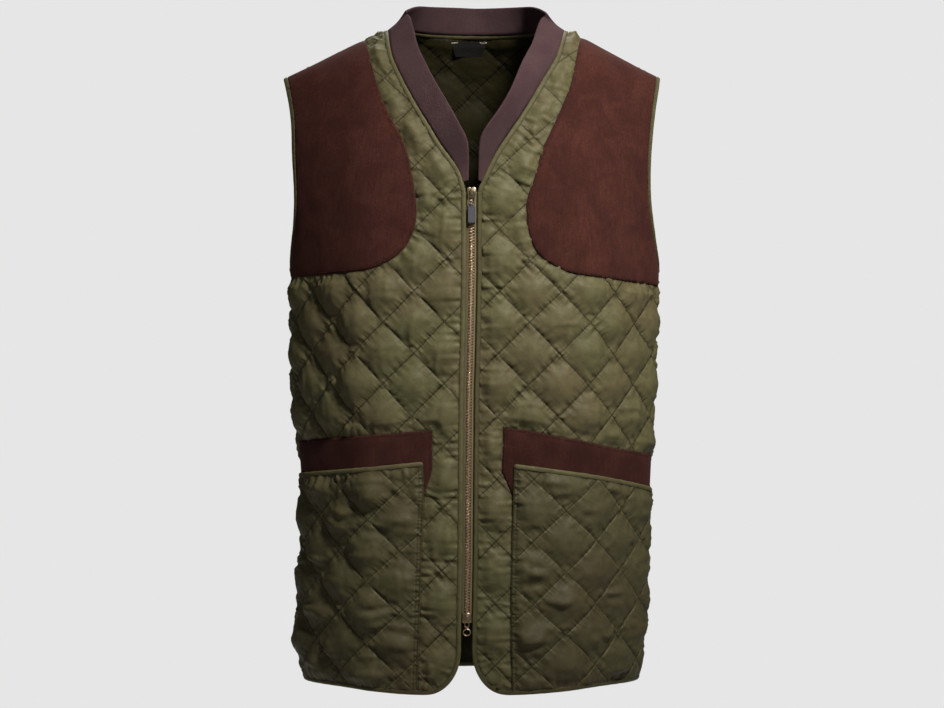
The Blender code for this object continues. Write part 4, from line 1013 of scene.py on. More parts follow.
def new_tree(name, inputs):
    """A new tree that takes a mesh and some more inputs and gives a mesh, and its inputs' node."""
    tree = bpy.data.node_groups.new(name, "GeometryNodeTree")
    tree.is_modifier = True
    tree.interface.new_socket("Geometry", in_out="OUTPUT", socket_type="NodeSocketGeometry")
    for key, kind, default in (("Geometry", "Geometry", None), *inputs, ("Finish", "Material", None)):
        made = tree.interface.new_socket(key, in_out="INPUT", socket_type="NodeSocket" + kind)
        if default is not None:
            made.default_value = default
    return tree, node(tree, "NodeGroupInput")


def finished(tree, geometry, given, smooth_faces):
    """Ends a tree: real geometry, smooth if asked, in the finish that the tree is given."""
    done = node(tree, "GeometryNodeRealizeInstances", {"Geometry": geometry})["Geometry"]
    if smooth_faces:
        done = node(tree, "GeometryNodeSetShadeSmooth", {"Geometry": done})["Geometry"]
    done = node(tree, "GeometryNodeSetMaterial", {"Geometry": done, "Material": given["Finish"]})["Geometry"]
    node(tree, "NodeGroupOutput", {"Geometry": done})
    return tree


def row_tree(name, measures, shape):
    """A tree that sets one shape on each point, turned along the row and out from the cloth."""
    tree, given = new_tree(name, (
        *((key, "Float", 0.001) for key in measures),
        ("Shape", "Object", None), ("Uneven", "Float", 0.0), ("Seed", "Int", 1)))
    along, out = (node(tree, "GeometryNodeInputNamedAttribute", {"Name": name}, data_type="FLOAT_VECTOR")[0]
                  for name in ("along", "out"))
    turned = node(tree, "FunctionNodeAxesToRotation", {"Primary Axis": along, "Secondary Axis": out},
                  primary_axis="X", secondary_axis="Z")["Rotation"]
    least, most = (node(tree, "ShaderNodeMath", {0: 1.0, 1: given["Uneven"]}, operation=way)[0]
                   for way in ("SUBTRACT", "ADD"))
    scale = node(tree, "FunctionNodeRandomValue", {2: least, 3: most, "Seed": given["Seed"]},
                 data_type="FLOAT")[1]
    rows = node(tree, "GeometryNodeInstanceOnPoints", {
        "Points": given["Geometry"], "Instance": shape(tree, given), "Rotation": turned,
        "Scale": scale})["Instances"]
    return finished(tree, rows, given, True)


def stitch_shape(tree, given):
    """One stitch: a slim bead of thread, drawn in at both ends."""
    bead = node(tree, "GeometryNodeMeshUVSphere", {"Segments": 4, "Rings": 3, "Radius": 0.5})["Mesh"]
    size = node(tree, "ShaderNodeCombineXYZ", {"X": given["Length"], "Y": given["Thickness"],
                                               "Z": given["Thickness"]})["Vector"]
    turned = node(tree, "FunctionNodeAxisAngleToRotation", {"Axis": (0, 1, 0), "Angle": math.pi / 2})[0]
    upright = node(tree, "GeometryNodeTransform", {"Geometry": bead, "Rotation": turned})["Geometry"]
    return node(tree, "GeometryNodeTransform", {"Geometry": upright, "Scale": size})["Geometry"]


def rib_tree():
    """A tree that draws the knit up into ribs across the band's run."""
    tree, given = new_tree("knit ribs", (("Rib pitch", "Float", 0.0022), ("Rib height", "Float", 0.0002)))
    place = node(tree, "GeometryNodeInputNamedAttribute", {"Name": "cloth"}, data_type="FLOAT_VECTOR")[0]
    run = node(tree, "ShaderNodeSeparateXYZ", {"Vector": place})["X"]
    count = node(tree, "ShaderNodeMath", {0: run, 1: given["Rib pitch"]}, operation="DIVIDE")[0]
    turn = node(tree, "ShaderNodeMath", {0: count, 1: math.tau}, operation="MULTIPLY")[0]
    wave = node(tree, "ShaderNodeMath", {0: turn}, operation="COSINE")[0]
    high = node(tree, "ShaderNodeMath", {0: wave, 1: given["Rib height"]}, operation="MULTIPLY")[0]
    normal = node(tree, "GeometryNodeInputNormal")["Normal"]
    offset = node(tree, "ShaderNodeVectorMath", {0: normal, "Scale": high}, operation="SCALE")[0]
    moved = node(tree, "GeometryNodeSetPosition", {"Geometry": given["Geometry"],
                                                   "Offset": offset})["Geometry"]
    # The valleys between the ribs are stored as the knit's share of painted shade.
    low = node(tree, "ShaderNodeMapRange", {"Value": wave, "From Min": 1.0, "From Max": -1.0})[0]
    kept = node(tree, "GeometryNodeStoreNamedAttribute", {"Geometry": moved, "Name": "seam", "Value": low},
                data_type="FLOAT", domain="POINT")["Geometry"]
    return finished(tree, kept, given, False)


def nodes_on(obj, tree, **inputs):
    """The object with a Geometry Nodes tree's result as its own mesh."""
    modifier = obj.modifiers.new(tree.name, "NODES")
    modifier.node_group = tree
    for item in tree.interface.items_tree:
        key = item.name.replace(" ", "_")
        if item.in_out == "INPUT" and key in inputs:
            modifier[item.identifier] = inputs[key]
    return plain(obj)


def row(name, points, along, out, tree, finish_name, **inputs):
    """A row of like shapes, one on each point."""
    obj = add(name, points, [], [], along=along, out=out)
    return nodes_on(obj, tree, Finish=bpy.data.materials[finish_name], **inputs)


def sewn_along(cloth, line, out, side_step):
    """Stitches beside a line on the cloth: their places, directions and the way out of the cloth."""
    line = spaced(line, panel().stitch)
    line = line + rightward(line) * side_step
    out = out(line) if callable(out) else out
    places = cloth.at(line, out)
    return places, np.gradient(places, axis=0), cloth.normal(line)


def stitches(name, rows, finish_name, slot):
    """All the stitches of one kind on a piece, as one mesh."""
    points, along, out = (np.vstack(parts) for parts in zip(*rows))
    tree = bpy.data.node_groups.get("stitches") or row_tree("stitches", ("Length", "Thickness"),
                                                            stitch_shape)
    obj = row(name, points, along, out, tree, finish_name,
              Length=panel().stitch * 0.85, Thickness=panel().thread, Uneven=0.12, Seed=len(points))
    return worn(obj, slot)


# The pattern pieces' edges


def to_seam(cloth, u, v):
    """A place on a pattern curve, with its u or v read off the side or shoulder seam if it is None."""
    if u is None:
        return cloth.seam(v) - SEWN / 2, v
    return u, cloth.top(u) - SEWN / 2 if v is None else v


def side_seam(cloth, top):
    """The cloth's edge along the side seam."""
    v = np.linspace(HEM_AT + HEM_RISE, top, 220)
    return np.stack([cloth.seam(v) - SEWN / 2, v], 1)


def shoulder_seam(cloth, arm, neck):
    """The cloth's edge along the shoulder seam, from the arm to the neck."""
    u = np.linspace(arm, neck, 54)
    return np.stack([u, cloth.top(u) - SEWN / 2], 1)


def front_outline(side):
    """The runs of a front's edge, each in the direction that keeps the cloth on its left."""
    cloth = FRONT[side]
    inset = ZIP_GAP / 2 + BINDING
    round_u, round_v = (size - BINDING for size in CORNER)
    turn = np.linspace(0, np.pi / 2, 28)
    corner = np.stack([inset + round_u * (1 - np.cos(turn)), HEM_AT + round_v * (1 - np.sin(turn))], 1)
    seam = cloth.seam(HEM_AT + HEM_RISE) - SEWN / 2
    u = np.linspace(corner[-1, 0], seam, 90)
    share = limited((u - u[0]) / (u[-1] - u[0]) / 0.6)
    neck = [to_seam(cloth, *place) for place in FRONT_NECK[side]]
    arm = [to_seam(cloth, *place) for place in FRONT_ARM[side]]
    return {
        "zip": spaced([neck[0], corner[0]], EDGE),
        "corner": corner,
        "hem": spaced(np.stack([u, HEM_AT + HEM_RISE * share**2 * (3 - 2 * share)], 1), EDGE),
        "side": side_seam(cloth, arm[0][1]),
        "arm": smooth(arm),
        "shoulder": shoulder_seam(cloth, arm[-1][0], neck[-1][0]),
        "neck": smooth(neck[::-1]),
    }


def back_outline():
    """The runs of the back's edge, anticlockwise in u and v, from the hem's right end."""
    hem = HEM_AT + HEM_RISE
    half, neck, ends = {}, {}, []
    for side in SIDES:
        cloth = BACK.half[side]
        arm = [to_seam(cloth, *place) for place in BACK_ARM]
        neck[side] = np.array([to_seam(cloth, *place) for place in BACK_NECK]) * (side, 1)
        runs = {
            "side": side_seam(cloth, arm[0][1]),
            "arm": smooth(arm),
            "shoulder": shoulder_seam(cloth, arm[-1][0], BACK_NECK[-1][0]),
        }
        half[side] = {name: run * (side, 1) for name, run in runs.items()}
        ends.append((side * (cloth.seam(hem) - SEWN / 2), hem))
    edge = {"hem": spaced(ends, EDGE)}
    edge.update((name + "_left", run) for name, run in half[LEFT].items())
    edge["neck"] = smooth(np.vstack([neck[LEFT][::-1], neck[RIGHT][1:]]))
    edge.update((name + "_right", half[RIGHT][name][::-1]) for name in ("shoulder", "arm", "side"))
    return edge


FRONT_EDGE = {side: front_outline(side) for side in SIDES}
BACK_EDGE = back_outline()
FRONT_OUTLINE = {side: joined(*edge.values()) for side, edge in FRONT_EDGE.items()}


def pocket_lines(side):
    """The pocket's and the trim's lines, and both as closed shapes."""
    mouth = smooth(MOUTH[side])
    inner = smooth(POCKET_INNER[side])
    top = smooth(TRIM_TOP[side])
    leg_u, leg_v, leg_end = TRIM_LEG[side]
    meets = np.array([np.interp(-leg_end, -inner[:, 1], inner[:, 0]), leg_end])
    turn = (leg_u, leg_v)
    leg = np.vstack([spaced([top[0], turn], EDGE), spaced([turn, meets], EDGE)[1:]])
    under = mouth - (0, TRIM_UNDER)
    under = under[under[:, 0] > inner[0, 0] + LEG_WIDE]
    hidden = np.vstack([meets, meets + (0.012, 0.004), under])
    trim = np.vstack([top[::-1], leg[1:], hidden[1:]])
    pocket = np.vstack([mouth[::-1], inner[1:], [POCKET_FAR]])
    return mouth, inner, top, leg, hidden, trim, pocket


def patch_lines(side):
    """The shoulder patch's sewn edge, and the patch as a closed shape."""
    line = smooth(PATCH[side])
    far_u, far_v = PATCH_FAR
    return line, np.vstack([line, [(far_u, line[-1, 1]), (far_u, far_v), (line[0, 0], far_v)]])


def lifted(trim, uv):
    """How far the pocket stands off the front: clear of the trim, then down to the front."""
    away = np.where(inside(trim, uv), 0, near([closed(trim)], uv)[0])
    share = limited((away - 0.002) / 0.03)
    return SEAM + (SUEDE + SEAM) * (1 - share * share * (3 - 2 * share))


# The quilted pieces


def quilted(name, cloth, padding, outer, lining, inner_padding, inner_depth, covers=()):
    """A padded wall whose two faces are drawn in at their quilting lines, flat where it is covered."""
    away, along = near(padding.edges, outer.uv)
    height, seam = padding.height(outer.uv, away, along)
    height[covered(covers, outer.uv)] = 0
    inner_away, inner_along = near(inner_padding.edges, lining.uv)
    inner_height, _ = inner_padding.height(lining.uv, inner_away, inner_along)
    obj = wall(name, cloth, outer, padding.shifted(outer.uv, away), FLAT + height, lining,
               inner_padding.shifted(lining.uv, inner_away), -FLAT - inner_depth * inner_height,
               ("olive satin", "olive lining"), seam, padding.quilt)
    worn(obj, "quilted_olive", name.replace("quilted_", ""))


def quilt_thread(name, cloth, padding, outline, covers=(), out=FLAT + THREAD_LIFT):
    """The thread that shows along a piece's quilting lines."""
    uv, way = padding.quilt.stitches(outline, panel().stitch)
    show = inside(outline, uv) & ~covered(covers, uv)
    uv, way = uv[show], way[show]
    away, _ = near(padding.edges, uv)
    clear = away > 0.003
    uv, way, away = uv[clear], way[clear], away[clear]
    out = out(uv) if callable(out) else out
    here = cloth.at(padding.shifted(uv, away), out)
    step = unit(way) * 0.0005
    ahead = cloth.at(padding.shifted(uv + step, away), out) - here
    stitches("quilting_thread_" + name, [(here, ahead, cloth.normal(uv))], "olive thread", "quilted_olive")


def make_back():
    """The back in one piece, quilted on both faces."""
    outline = joined(*BACK_EDGE.values())
    quilt = Quilting(QUILT_AT["back"])
    edges = [closed(outline)]
    padding = Padding(quilt, edges, 40)
    dots = quilt.dots(outline, BACK_CELLS)
    dots = dots[near(edges, dots)[0] > BESIDE[1] + 0.0015]
    outer = Piece(outline, (), np.vstack([beside(edges, outline), dots]), margin=0.0009)
    lining = Piece(outer.loop(), (), quilt.dots(outline, BACK_LINING_CELLS))
    quilted("quilted_back", BACK, padding, outer, lining, padding, 0.5)
    quilt_thread("back", BACK, padding, outline)


def make_front(side):
    """One quilted front, plain under the suede and the pocket."""
    name, cloth, outline = SIDE_NAME[side], FRONT[side], FRONT_OUTLINE[side]
    mouth, inner, top, leg, _, trim, pocket = pocket_lines(side)
    patch_line, patch = patch_lines(side)
    covers = (patch, trim, pocket)
    edges = [closed(outline), patch_line, mouth, inner, top, leg]
    quilt = Quilting(QUILT_AT["front_" + name])
    dots, under = (quilt.dots(outline, cells) for cells in (FINE_CELLS, COVERED_CELLS))
    rows = beside(edges, outline)
    rows = rows[~covered(covers, rows)]
    dots = dots[~covered(covers, dots)]
    dots = dots[near(edges, dots)[0] > BESIDE[1] + 0.0009]
    dots = np.vstack([rows, dots, under[covered(covers, under)]])
    outer = Piece(outline, (), dots, margin=0.0009)
    lining = Piece(outer.loop(), (), quilt.dots(outline, FRONT_LINING_CELLS))
    padding = Padding(quilt, edges, 50 + 10 * side)
    inner_padding = Padding(quilt, [closed(outline)], 50 + 10 * side)
    quilted("quilted_front_" + name, cloth, padding, outer, lining, inner_padding, 0.35, covers)
    quilt_thread("front_" + name, cloth, padding, outline, covers)


def make_pocket(side):
    """One large quilted patch pocket, sewn down its inner edge with two rows of stitches."""
    name, cloth, outline = SIDE_NAME[side], FRONT[side], FRONT_OUTLINE[side]
    mouth, inner, _, _, _, trim, pocket = pocket_lines(side)
    quilt = Quilting(QUILT_AT["pocket_" + name], POCKET_QUILT_WIDE)
    down = spaced(inner[inner[:, 1] > HEM_AT], 0.0009)
    band = np.vstack([down + (0.0009 * k, 0) for k in range(1, 10)])
    dots = quilt.dots(outline, FINE_CELLS)
    dots = dots[inside(pocket, dots)]
    dots = np.vstack([dots[near([inner], dots)[0] > 0.009], band[inside(pocket, band)]])
    outer = Piece(outline, [mouth, inner], dots, margin=0.0005).part(pocket)
    loop = outer.loop()
    lining = Piece(loop, (), quilt.dots(loop, COVERED_CELLS))
    padding = Padding(quilt, [closed(loop)], 80 + 10 * side, 0.3, 2.0, 0.92)
    away, along = near(padding.edges, outer.uv)
    height, seam = padding.height(outer.uv, away, along)
    from_side, down = near([inner], outer.uv)
    gather = noise_along(down, 0.0021, 7)
    # The two rows of stitches sink the cloth into grooves, which also take painted shade.
    sewn = sum(np.exp(-(((from_side - row) / 0.0009) ** 2)) for row in POCKET_ROWS)
    height *= limited((from_side - 0.001) / 0.0075) ** 0.8
    height += 0.001 * gather * limited(from_side / 0.001) * limited(1.3 - from_side / 0.0085)
    # Painted shade in the gathers along the sewn edge.
    gather_shade = limited(2.2 * gather) * limited(1.4 - from_side / 0.006)
    height = np.clip(height, 0, None) - 0.0007 * sewn
    base = FLAT + lifted(trim, outer.uv)
    under = FLAT + lifted(trim, lining.uv)
    obj = wall("quilted_pocket_" + name, cloth, outer, padding.shifted(outer.uv, away),
               base + POCKET_WALL + height, lining, lining.uv, under, "olive pocket satin",
               np.maximum.reduce([seam, sewn, gather_shade]), quilt)
    worn(obj, "quilted_olive", "pocket_" + name)

    def face(uv):
        return FLAT + lifted(trim, uv) + POCKET_WALL + 0.0002

    quilt_thread("pocket_" + name, cloth, padding, loop, out=face)
    seam_line = inner[(inner[:, 1] > HEM_AT + 0.004) & (inner[:, 1] < mouth[0, 1] - 0.004)]
    rows = [sewn_along(cloth, seam_line, face, -step) for step in POCKET_ROWS]
    stitches("pocket_seam_thread_" + name, rows, "olive thread", "quilted_olive")


# Suede


def make_suede(kind, node_kind, side, lines, hidden, region, seed, finish_name):
    """A suede shape sewn flat on a front: rolled at its edge and drawn in along its stitches."""
    name, cloth, outline = SIDE_NAME[side], FRONT[side], FRONT_OUTLINE[side]
    quilt = Quilting(QUILT_AT["front_" + name])
    dots = quilt.dots(outline, BACK_CELLS)
    shape = Piece(outline, [*lines, *hidden], dots[inside(region, dots)]).part(region)
    loop = shape.loop()
    lining = Piece(loop, (), quilt.dots(loop, COVERED_CELLS))
    edge = near([closed(loop)], shape.uv)[0]
    sewn = near(lines, shape.uv)[0]
    # The groove also sets where the suede takes its painted shade.
    groove = np.exp(-(((sewn - SUEDE_ROW) / 0.0011) ** 2))
    wave = noise(shape.uv, 0.026, seed) * limited(edge / 0.012)
    top = SUEDE * (0.45 + 0.55 * np.sqrt(limited(edge / 0.0016)))
    top = top - 0.00045 * groove + 0.0005 * (wave + 1) * limited(edge / 0.01)
    base = FLAT + SEAM
    obj = wall("suede_" + kind + "_" + name, cloth, shape, shape.uv, base + top, lining, lining.uv, base,
               finish_name, groove)
    worn(obj, "brown_suede", node_kind + "_" + name)


def suede_thread(kind, side, *rows):
    """The brown stitches beside some lines on the suede, to the right of each line or to its left."""
    rows = [sewn_along(FRONT[side], line, FLAT + SEAM + SUEDE, way * SUEDE_ROW) for line, way in rows]
    stitches(kind + "_thread_" + SIDE_NAME[side], rows, "brown thread", "brown_suede")


def make_patch(side):
    """A shoulder patch and its row of stitches."""
    line, patch = patch_lines(side)
    make_suede("patch", "shoulder_patch", side, [line], (), patch, 21 + side, "brown suede")
    suede_thread("patch", side, (line[inside(FRONT_OUTLINE[side], line)][4:-3], -1))


def make_trim(side):
    """A pocket's trim, with stitches along its top and down its leg."""
    _, _, top, leg, hidden, trim, _ = pocket_lines(side)
    make_suede("trim", "pocket_trim", side, [top, leg], [hidden], trim, 31 + side, "brown trim suede")
    top = top[inside(FRONT_OUTLINE[side], top)]
    suede_thread("trim", side, (top[2:-2], 1), (leg[2:-5], -1))


# Bindings


def bead_section():
    """A binding's section: share of its width out from the cloth's edge, share of its half thickness."""
    turn = np.radians(np.linspace(90, -90, 9))
    outer = np.stack([0.55 + 0.45 * np.cos(turn), np.sin(turn)], 1)
    top = np.array([(0.0, 0.7), (0.1, 0.93), (0.3, 1.0)])
    return np.vstack([top, outer, top[::-1] * (1, -1)])


def bead_rings(cloth, line, low, high, side):
    """Sections of a binding along a cloth's edge, on the given side of the line."""
    out = rightward(line) * side
    rings = []
    for share, thick in bead_section():
        away = share * (BINDING + BINDING_LAP) - BINDING_LAP
        height = (high + low) / 2 + thick * (high - low) / 2
        rings.append(cloth.at(line + out * away, height))
    return np.stack(rings, axis=1)


def eased(rings, ring_closed):
    """The rings with small corners taken out along their run."""
    for _ in range(3):
        if ring_closed:
            rings = (np.roll(rings, 1, axis=0) + 2 * rings + np.roll(rings, -1, axis=0)) / 4
        else:
            rings[1:-1] = (rings[:-2] + 2 * rings[1:-1] + rings[2:]) / 4
    return rings


def bound(kind, side, rings, seed, ring_closed=False):
    """A binding of folded satin along its rings, drawn in a little at each stitch."""
    rings = eased(rings, ring_closed)
    count, around = rings.shape[:2]
    middle = rings.mean(axis=1, keepdims=True)
    if not ring_closed:
        for k, share in ((0, 0.5), (-1, 0.5), (1, 0.92), (-2, 0.92)):
            rings[k] = middle[k] + (rings[k] - middle[k]) * share
    arc = lengths(middle[:, 0])
    pulled = 1 + 0.05 * noise_along(arc, 0.005, seed)
    rings = middle + (rings - middle) * pulled[:, None, None]
    place = mapped(rings, arc, np.arange(around) * 0.0008)
    # Painted shade towards where the binding meets the cloth, none along its rounded fold.
    bright = limited(1.2 - np.abs(np.arange(around) - (around - 1) / 2) / 5)
    shade = np.tile(limited(1 - bright) * 0.8, (count, 1))
    obj = add("binding_" + kind + side, *lofted(rings, not ring_closed), "olive binding satin", cloth=place,
              seam=shade.ravel())
    worn(obj, "olive_binding", kind + "_binding" + side)
    top = rings[:, 1] * 0.6 + rings[:, 2] * 0.4
    return top, unit(top - rings[:, -2])


def bead_row(top, out):
    """The places of a row of stitches along a binding, near the cloth that it covers."""
    count = max(2, int(lengths(top)[-1] / panel().stitch))
    index = np.linspace(0, len(top) - 1, count)
    line = read(index, np.arange(len(top)), np.hstack([top, out]))
    places = line[:, :3] + line[:, 3:] * 0.00005
    return places, np.gradient(places, axis=0), line[:, 3:]


def make_edge_binding():
    """One binding down the right front's edge, round the hem, and up the left front's edge."""
    over_pocket = FLAT + SEAM + POCKET_WALL + OVER
    runs = {}
    for side in SIDES:
        edge = FRONT_EDGE[side]
        line = np.vstack([edge["zip"][1:], edge["corner"][1:], edge["hem"][1:]])
        line = np.vstack([line[0] + (0, 0.003), line[0] + (0, 0.0015), line])
        high = np.interp(line[:, 0], (0.045, 0.058), (LAP, over_pocket))
        runs[side] = bead_rings(FRONT[side], line, -LAP, high, 1)
    hem = BACK_EDGE["hem"]
    ramp = limited((np.abs(hem[:, 0]) - 0.2) / 0.04)
    behind = bead_rings(BACK, hem, -LAP, LAP + ramp * (over_pocket - LAP), 1)
    rings = np.vstack([runs[RIGHT], behind[1:-1], runs[LEFT][::-1]])
    return bound("edge", "", rings, 5)


def make_armhole_binding(side):
    """The binding round one armhole, over the suede patch in front and the cloth behind."""
    over_patch = FLAT + SEAM + SUEDE + OVER
    name = SIDE_NAME[side]
    before = bead_rings(FRONT[side], FRONT_EDGE[side]["arm"], -LAP, over_patch, 1)
    line = BACK_EDGE["arm_" + name]
    to_end = np.minimum(np.arange(len(line)), np.arange(len(line))[::-1]) * EDGE
    behind = bead_rings(BACK, line, -LAP, LAP + (over_patch - LAP) * limited(1 - to_end / 0.03), 1)
    if side == LEFT:
        behind = behind[::-1]
    return bound("armhole", "_" + name, np.vstack([before, behind[1:-1]]), 6 + side,
                 ring_closed=True)


def neck_run(shaped):
    """The neckline from the V up the right, round the back and down the left, face by face."""
    right, back = FRONT_EDGE[RIGHT]["neck"][::-1], BACK_EDGE["neck"][::-1]
    right, back, left = (shaped(line) for line in (right, back, FRONT_EDGE[LEFT]["neck"]))
    return [FRONT[RIGHT], right, -1], [BACK, back[1:-1], -1], [FRONT[LEFT], left, 1]


def make_neck_binding():
    """The binding between the quilted cloth and the knitted collar."""
    before, behind, after = neck_run(np.array)
    down = np.array([(-0.0003, -0.0036), (0, -0.0018)])
    before[1] = np.vstack([before[1][0] + down, before[1]])
    after[1] = np.vstack([after[1], after[1][-1] + down[::-1]])
    rings = [bead_rings(cloth, line, -LAP, LAP, way) for cloth, line, way in (before, behind, after)]
    return bound("neck", "", np.vstack(rings), 9)


def make_pocket_binding(side):
    """The binding along a pocket's mouth, standing over the suede trim."""
    cloth, name = FRONT[side], SIDE_NAME[side]
    line = smooth(MOUTH[side])
    seam = cloth.seam(line[:, 1]) - SEAM / 2
    line = line[line[:, 0] < seam]
    base = FLAT + SEAM + SUEDE + SEAM
    rings = bead_rings(cloth, line, base, base + POCKET_WALL + MOUTH_ROLL, -1)
    return bound("pocket", "_" + name, rings, 11 + side)


# Collar and label


def make_collar():
    """The ribbed knit band: it lies flat at the V and stands up round the back of the neck."""
    rib = panel().rib
    lines = []
    for cloth, line, way in neck_run(lambda line: spaced(line, NECK_STEP)):
        out = rightward(line) * way
        sewn = line + out * (BINDING + SEAM)
        seam = cloth.at(sewn)
        inward = unit(cloth.at(line + out * (BINDING + SEAM + FORM_STEP)) - seam)
        lines.append((seam, cloth.normal(sewn), inward))
    seam, normal, inward = (np.vstack(parts) for parts in zip(*lines))
    arc = lengths(seam)
    share = arc / arc[-1] * 2 - 1
    stand = [through(STAND[side], 1, 1 - np.abs(share)) for side in SIDES]
    stand = np.radians(np.where(share < 0, *stand))[:, None]
    along = np.cos(stand) * inward + np.sin(stand) * normal
    face = np.cos(stand) * normal - np.sin(stand) * inward
    seam = seam + inward * np.sin(stand) * KNIT / 2
    zip_x = through(BODY, 3, seam[:, 2])
    room = np.abs(seam[:, 0] - zip_x) - COLLAR_CLEAR
    room = np.clip(room / np.abs(along[:, 0]), 1e-4, None)
    soft = (KNIT_WIDTH**-COLLAR_EASE + room**-COLLAR_EASE) ** (-1 / COLLAR_EASE)
    wide = np.where(seam[:, 1] < -0.03, soft, KNIT_WIDTH)
    keep = (wide > 0.0012) & (seam[:, 2] > ZIP_TOP + SEAM)
    low, high = arc[keep][[0, -1]]
    at = np.linspace(low, high, round((high - low) / rib * 5))
    table = np.hstack([seam, along, face, wide[:, None]])[keep]
    fine = np.stack([bend(arc[keep], column, at) for column in table.T], 1)
    seam, along, face, wide = fine[:, :3], fine[:, 3:6], fine[:, 6:9], fine[:, 9]
    nose = np.minimum(KNIT / 2, 0.45 * wide)
    flat = np.linspace(0, 1, 9)
    turn = np.radians(np.linspace(90, -90, 7))[1:-1]
    upper = [(s * (wide - nose + KNIT_TUCK) - KNIT_TUCK, 0.8 + 0.2 * min(1, 6 * s)) for s in flat]
    section = upper + [(wide - nose + nose * math.cos(t), math.sin(t)) for t in turn]
    section += [(across, -up) for across, up in upper[::-1]]
    rings = [seam + along * across[:, None] + face * up * KNIT / 2 for across, up in section]
    rings = np.stack(rings, axis=1)
    place = mapped(rings, at, np.stack([across for across, _ in section], 1))
    obj = add("knitted_collar", *lofted(rings), "rib knit", cloth=place)
    nodes_on(obj, rib_tree(), Rib_pitch=rib, Rib_height=0.09 * rib,
             Finish=bpy.data.materials["rib knit"])
    obj.data.shade_smooth()
    worn(obj, "rib_knit", "collar")


def make_label():
    """The blank neck label: a dark woven cloth with its two top corners folded pale side out."""
    left, right = LABEL_U
    top = np.interp(0, *BACK_EDGE["neck"][::-1].T) - 0.0035
    across = np.linspace(0, 1, 25)
    down = np.linspace(0, 1, 13)
    s, t = (grid.ravel() for grid in np.meshgrid(across, down, indexing="ij"))
    u = left + LABEL_TAPER * t + (right - left - 2 * LABEL_TAPER * t) * s
    uv = np.stack([u, top - LABEL_HIGH * t], 1)
    lift = 0.001 + 0.0018 * limited(t * 3) + 0.0004 * np.sin(7 * s + 3 * t)
    front, rear = (BACK.at(uv, -FLAT - lift - thick) for thick in (LABEL, 0))
    rows, columns, behind = len(across), len(down), len(uv)
    corners = np.arange(behind).reshape(rows, columns)
    cells = np.stack([corners[:-1, :-1], corners[1:, :-1], corners[1:, 1:], corners[:-1, 1:]], 2)
    cells = np.stack([cells, cells[..., [0, 3, 2, 1]] + behind], 2).reshape(-1, 4)
    ring = [*corners[:, 0], *corners[-1, 1:], *corners[-2::-1, -1], *corners[0, -2:0:-1]]
    sides = [(a, b, b + behind, a + behind) for a, b in zip(ring, ring[1:] + ring[:1])]
    faces = [*cells, *sides]
    place = np.hstack([np.vstack([uv, uv]), np.zeros((2 * behind, 1))])
    obj = add("label_cloth", np.vstack([front, rear]), faces, "label weave", cloth=place)
    worn(sharp(obj, 50), "label_cloth", "neck_label")
    for name, corner, way in (("left", left, 1), ("right", right, -1)):
        fold = np.array([(0, 0), (0.0095, 0), (0.0072, -0.0022), (0.001, -0.0026)]) * (way, 1)
        uv = fold + (corner, top)
        rings = [BACK.at(uv, -FLAT - 0.0019 - out) for out in (0.0, 0.0004)]
        points, faces = lofted(rings)
        obj = add("label_fold_" + name, points, faces, "label fold", cloth=points * (1, 1, 0))
        worn(sharp(obj, 50), "label_cloth")


# Zip


def make_tape(side):
    """One side of the zip's tape, sewn behind the front's edge."""
    cloth, name = FRONT[side], SIDE_NAME[side]
    line = FRONT_EDGE[side]["zip"]
    line = np.vstack([line[line[:, 1] > ZIP_END + SLIDER], [(line[0, 0], ZIP_END)]])
    face, rear = -LAP - SEAM, -LAP - SEAM - TAPE
    sewn, edge = TAPE_LAP, 0.0006 - line[0, 0]
    bend_at, cord = ZIP_GAP / 2 - line[0, 0], CHAIN_HALF + 0.0004 - line[0, 0]
    section = [(sewn, face), (bend_at + 0.0005, face), (bend_at, face + 0.0008),
               (cord + 0.001, face + 0.0011), (cord + 0.0005, face + 0.0016), (cord, face + 0.0017),
               (cord - 0.0005, face + 0.0013), (edge, face + 0.0006), (edge, rear), (sewn, rear)]
    rings = np.stack([cloth.at(line + (across, 0), out) for across, out in section], axis=1)
    place = mapped(rings, line[:, 1], [across for across, _ in section])
    obj = add("zip_twill_" + name, *lofted(rings), "zip twill", cloth=place)
    worn(obj, "zip_tape", "zip_tape_" + name)


def make_teeth():
    """The closed row of teeth, from each side in turn, between the two sliders."""
    pitch = panel().tooth
    root, half, middle = -CHAIN_HALF, 0.4 * pitch, 0.0018
    shape = ((root, 0.8), (root + 0.0012, 0.72), (-0.0006, 0.72), (0.0002, 1), (0.0011, 0.75))
    outline = [(x, share * half) for x, share in shape]
    outline = [(root, -0.8 * half), *outline, *((x, -y) for x, y in outline[:0:-1])]
    levels = ((-0.0015, 0.8), (-0.0011, 1), (0.0006, 1), (0.0011, 0.82), (0.0014, 0.45))
    points, faces = lofted([[((x + middle) * share - middle, y * share, depth) for x, y in outline]
                            for depth, share in levels])
    tooth = add("one tooth", points, faces, "antique brass")
    low, high = ZIP_END + SLIDER + SEAM, ZIP_TOP - SLIDER - SEAM
    v = np.arange(low + 0.0005, high - 0.0003, pitch / 2)
    uv = np.stack([0 * v, v], 1)
    out = FRONT[LEFT].normal(uv)
    way = np.where(np.arange(len(v)) % 2, 1.0, -1.0)[:, None] * (1, 0, 0)
    places = FRONT[LEFT].at(uv, CHAIN_FRONT - 0.0014)
    tree = row_tree("zip teeth", (), lambda tree, given: node(
        tree, "GeometryNodeObjectInfo", {"Object": given["Shape"]})["Geometry"])
    obj = row("zip_teeth", places, way, out, tree, "antique brass", Shape=tooth)
    bpy.data.objects.remove(tooth)
    worn(sharp(obj, 40), "antique_brass", "zip_chain")


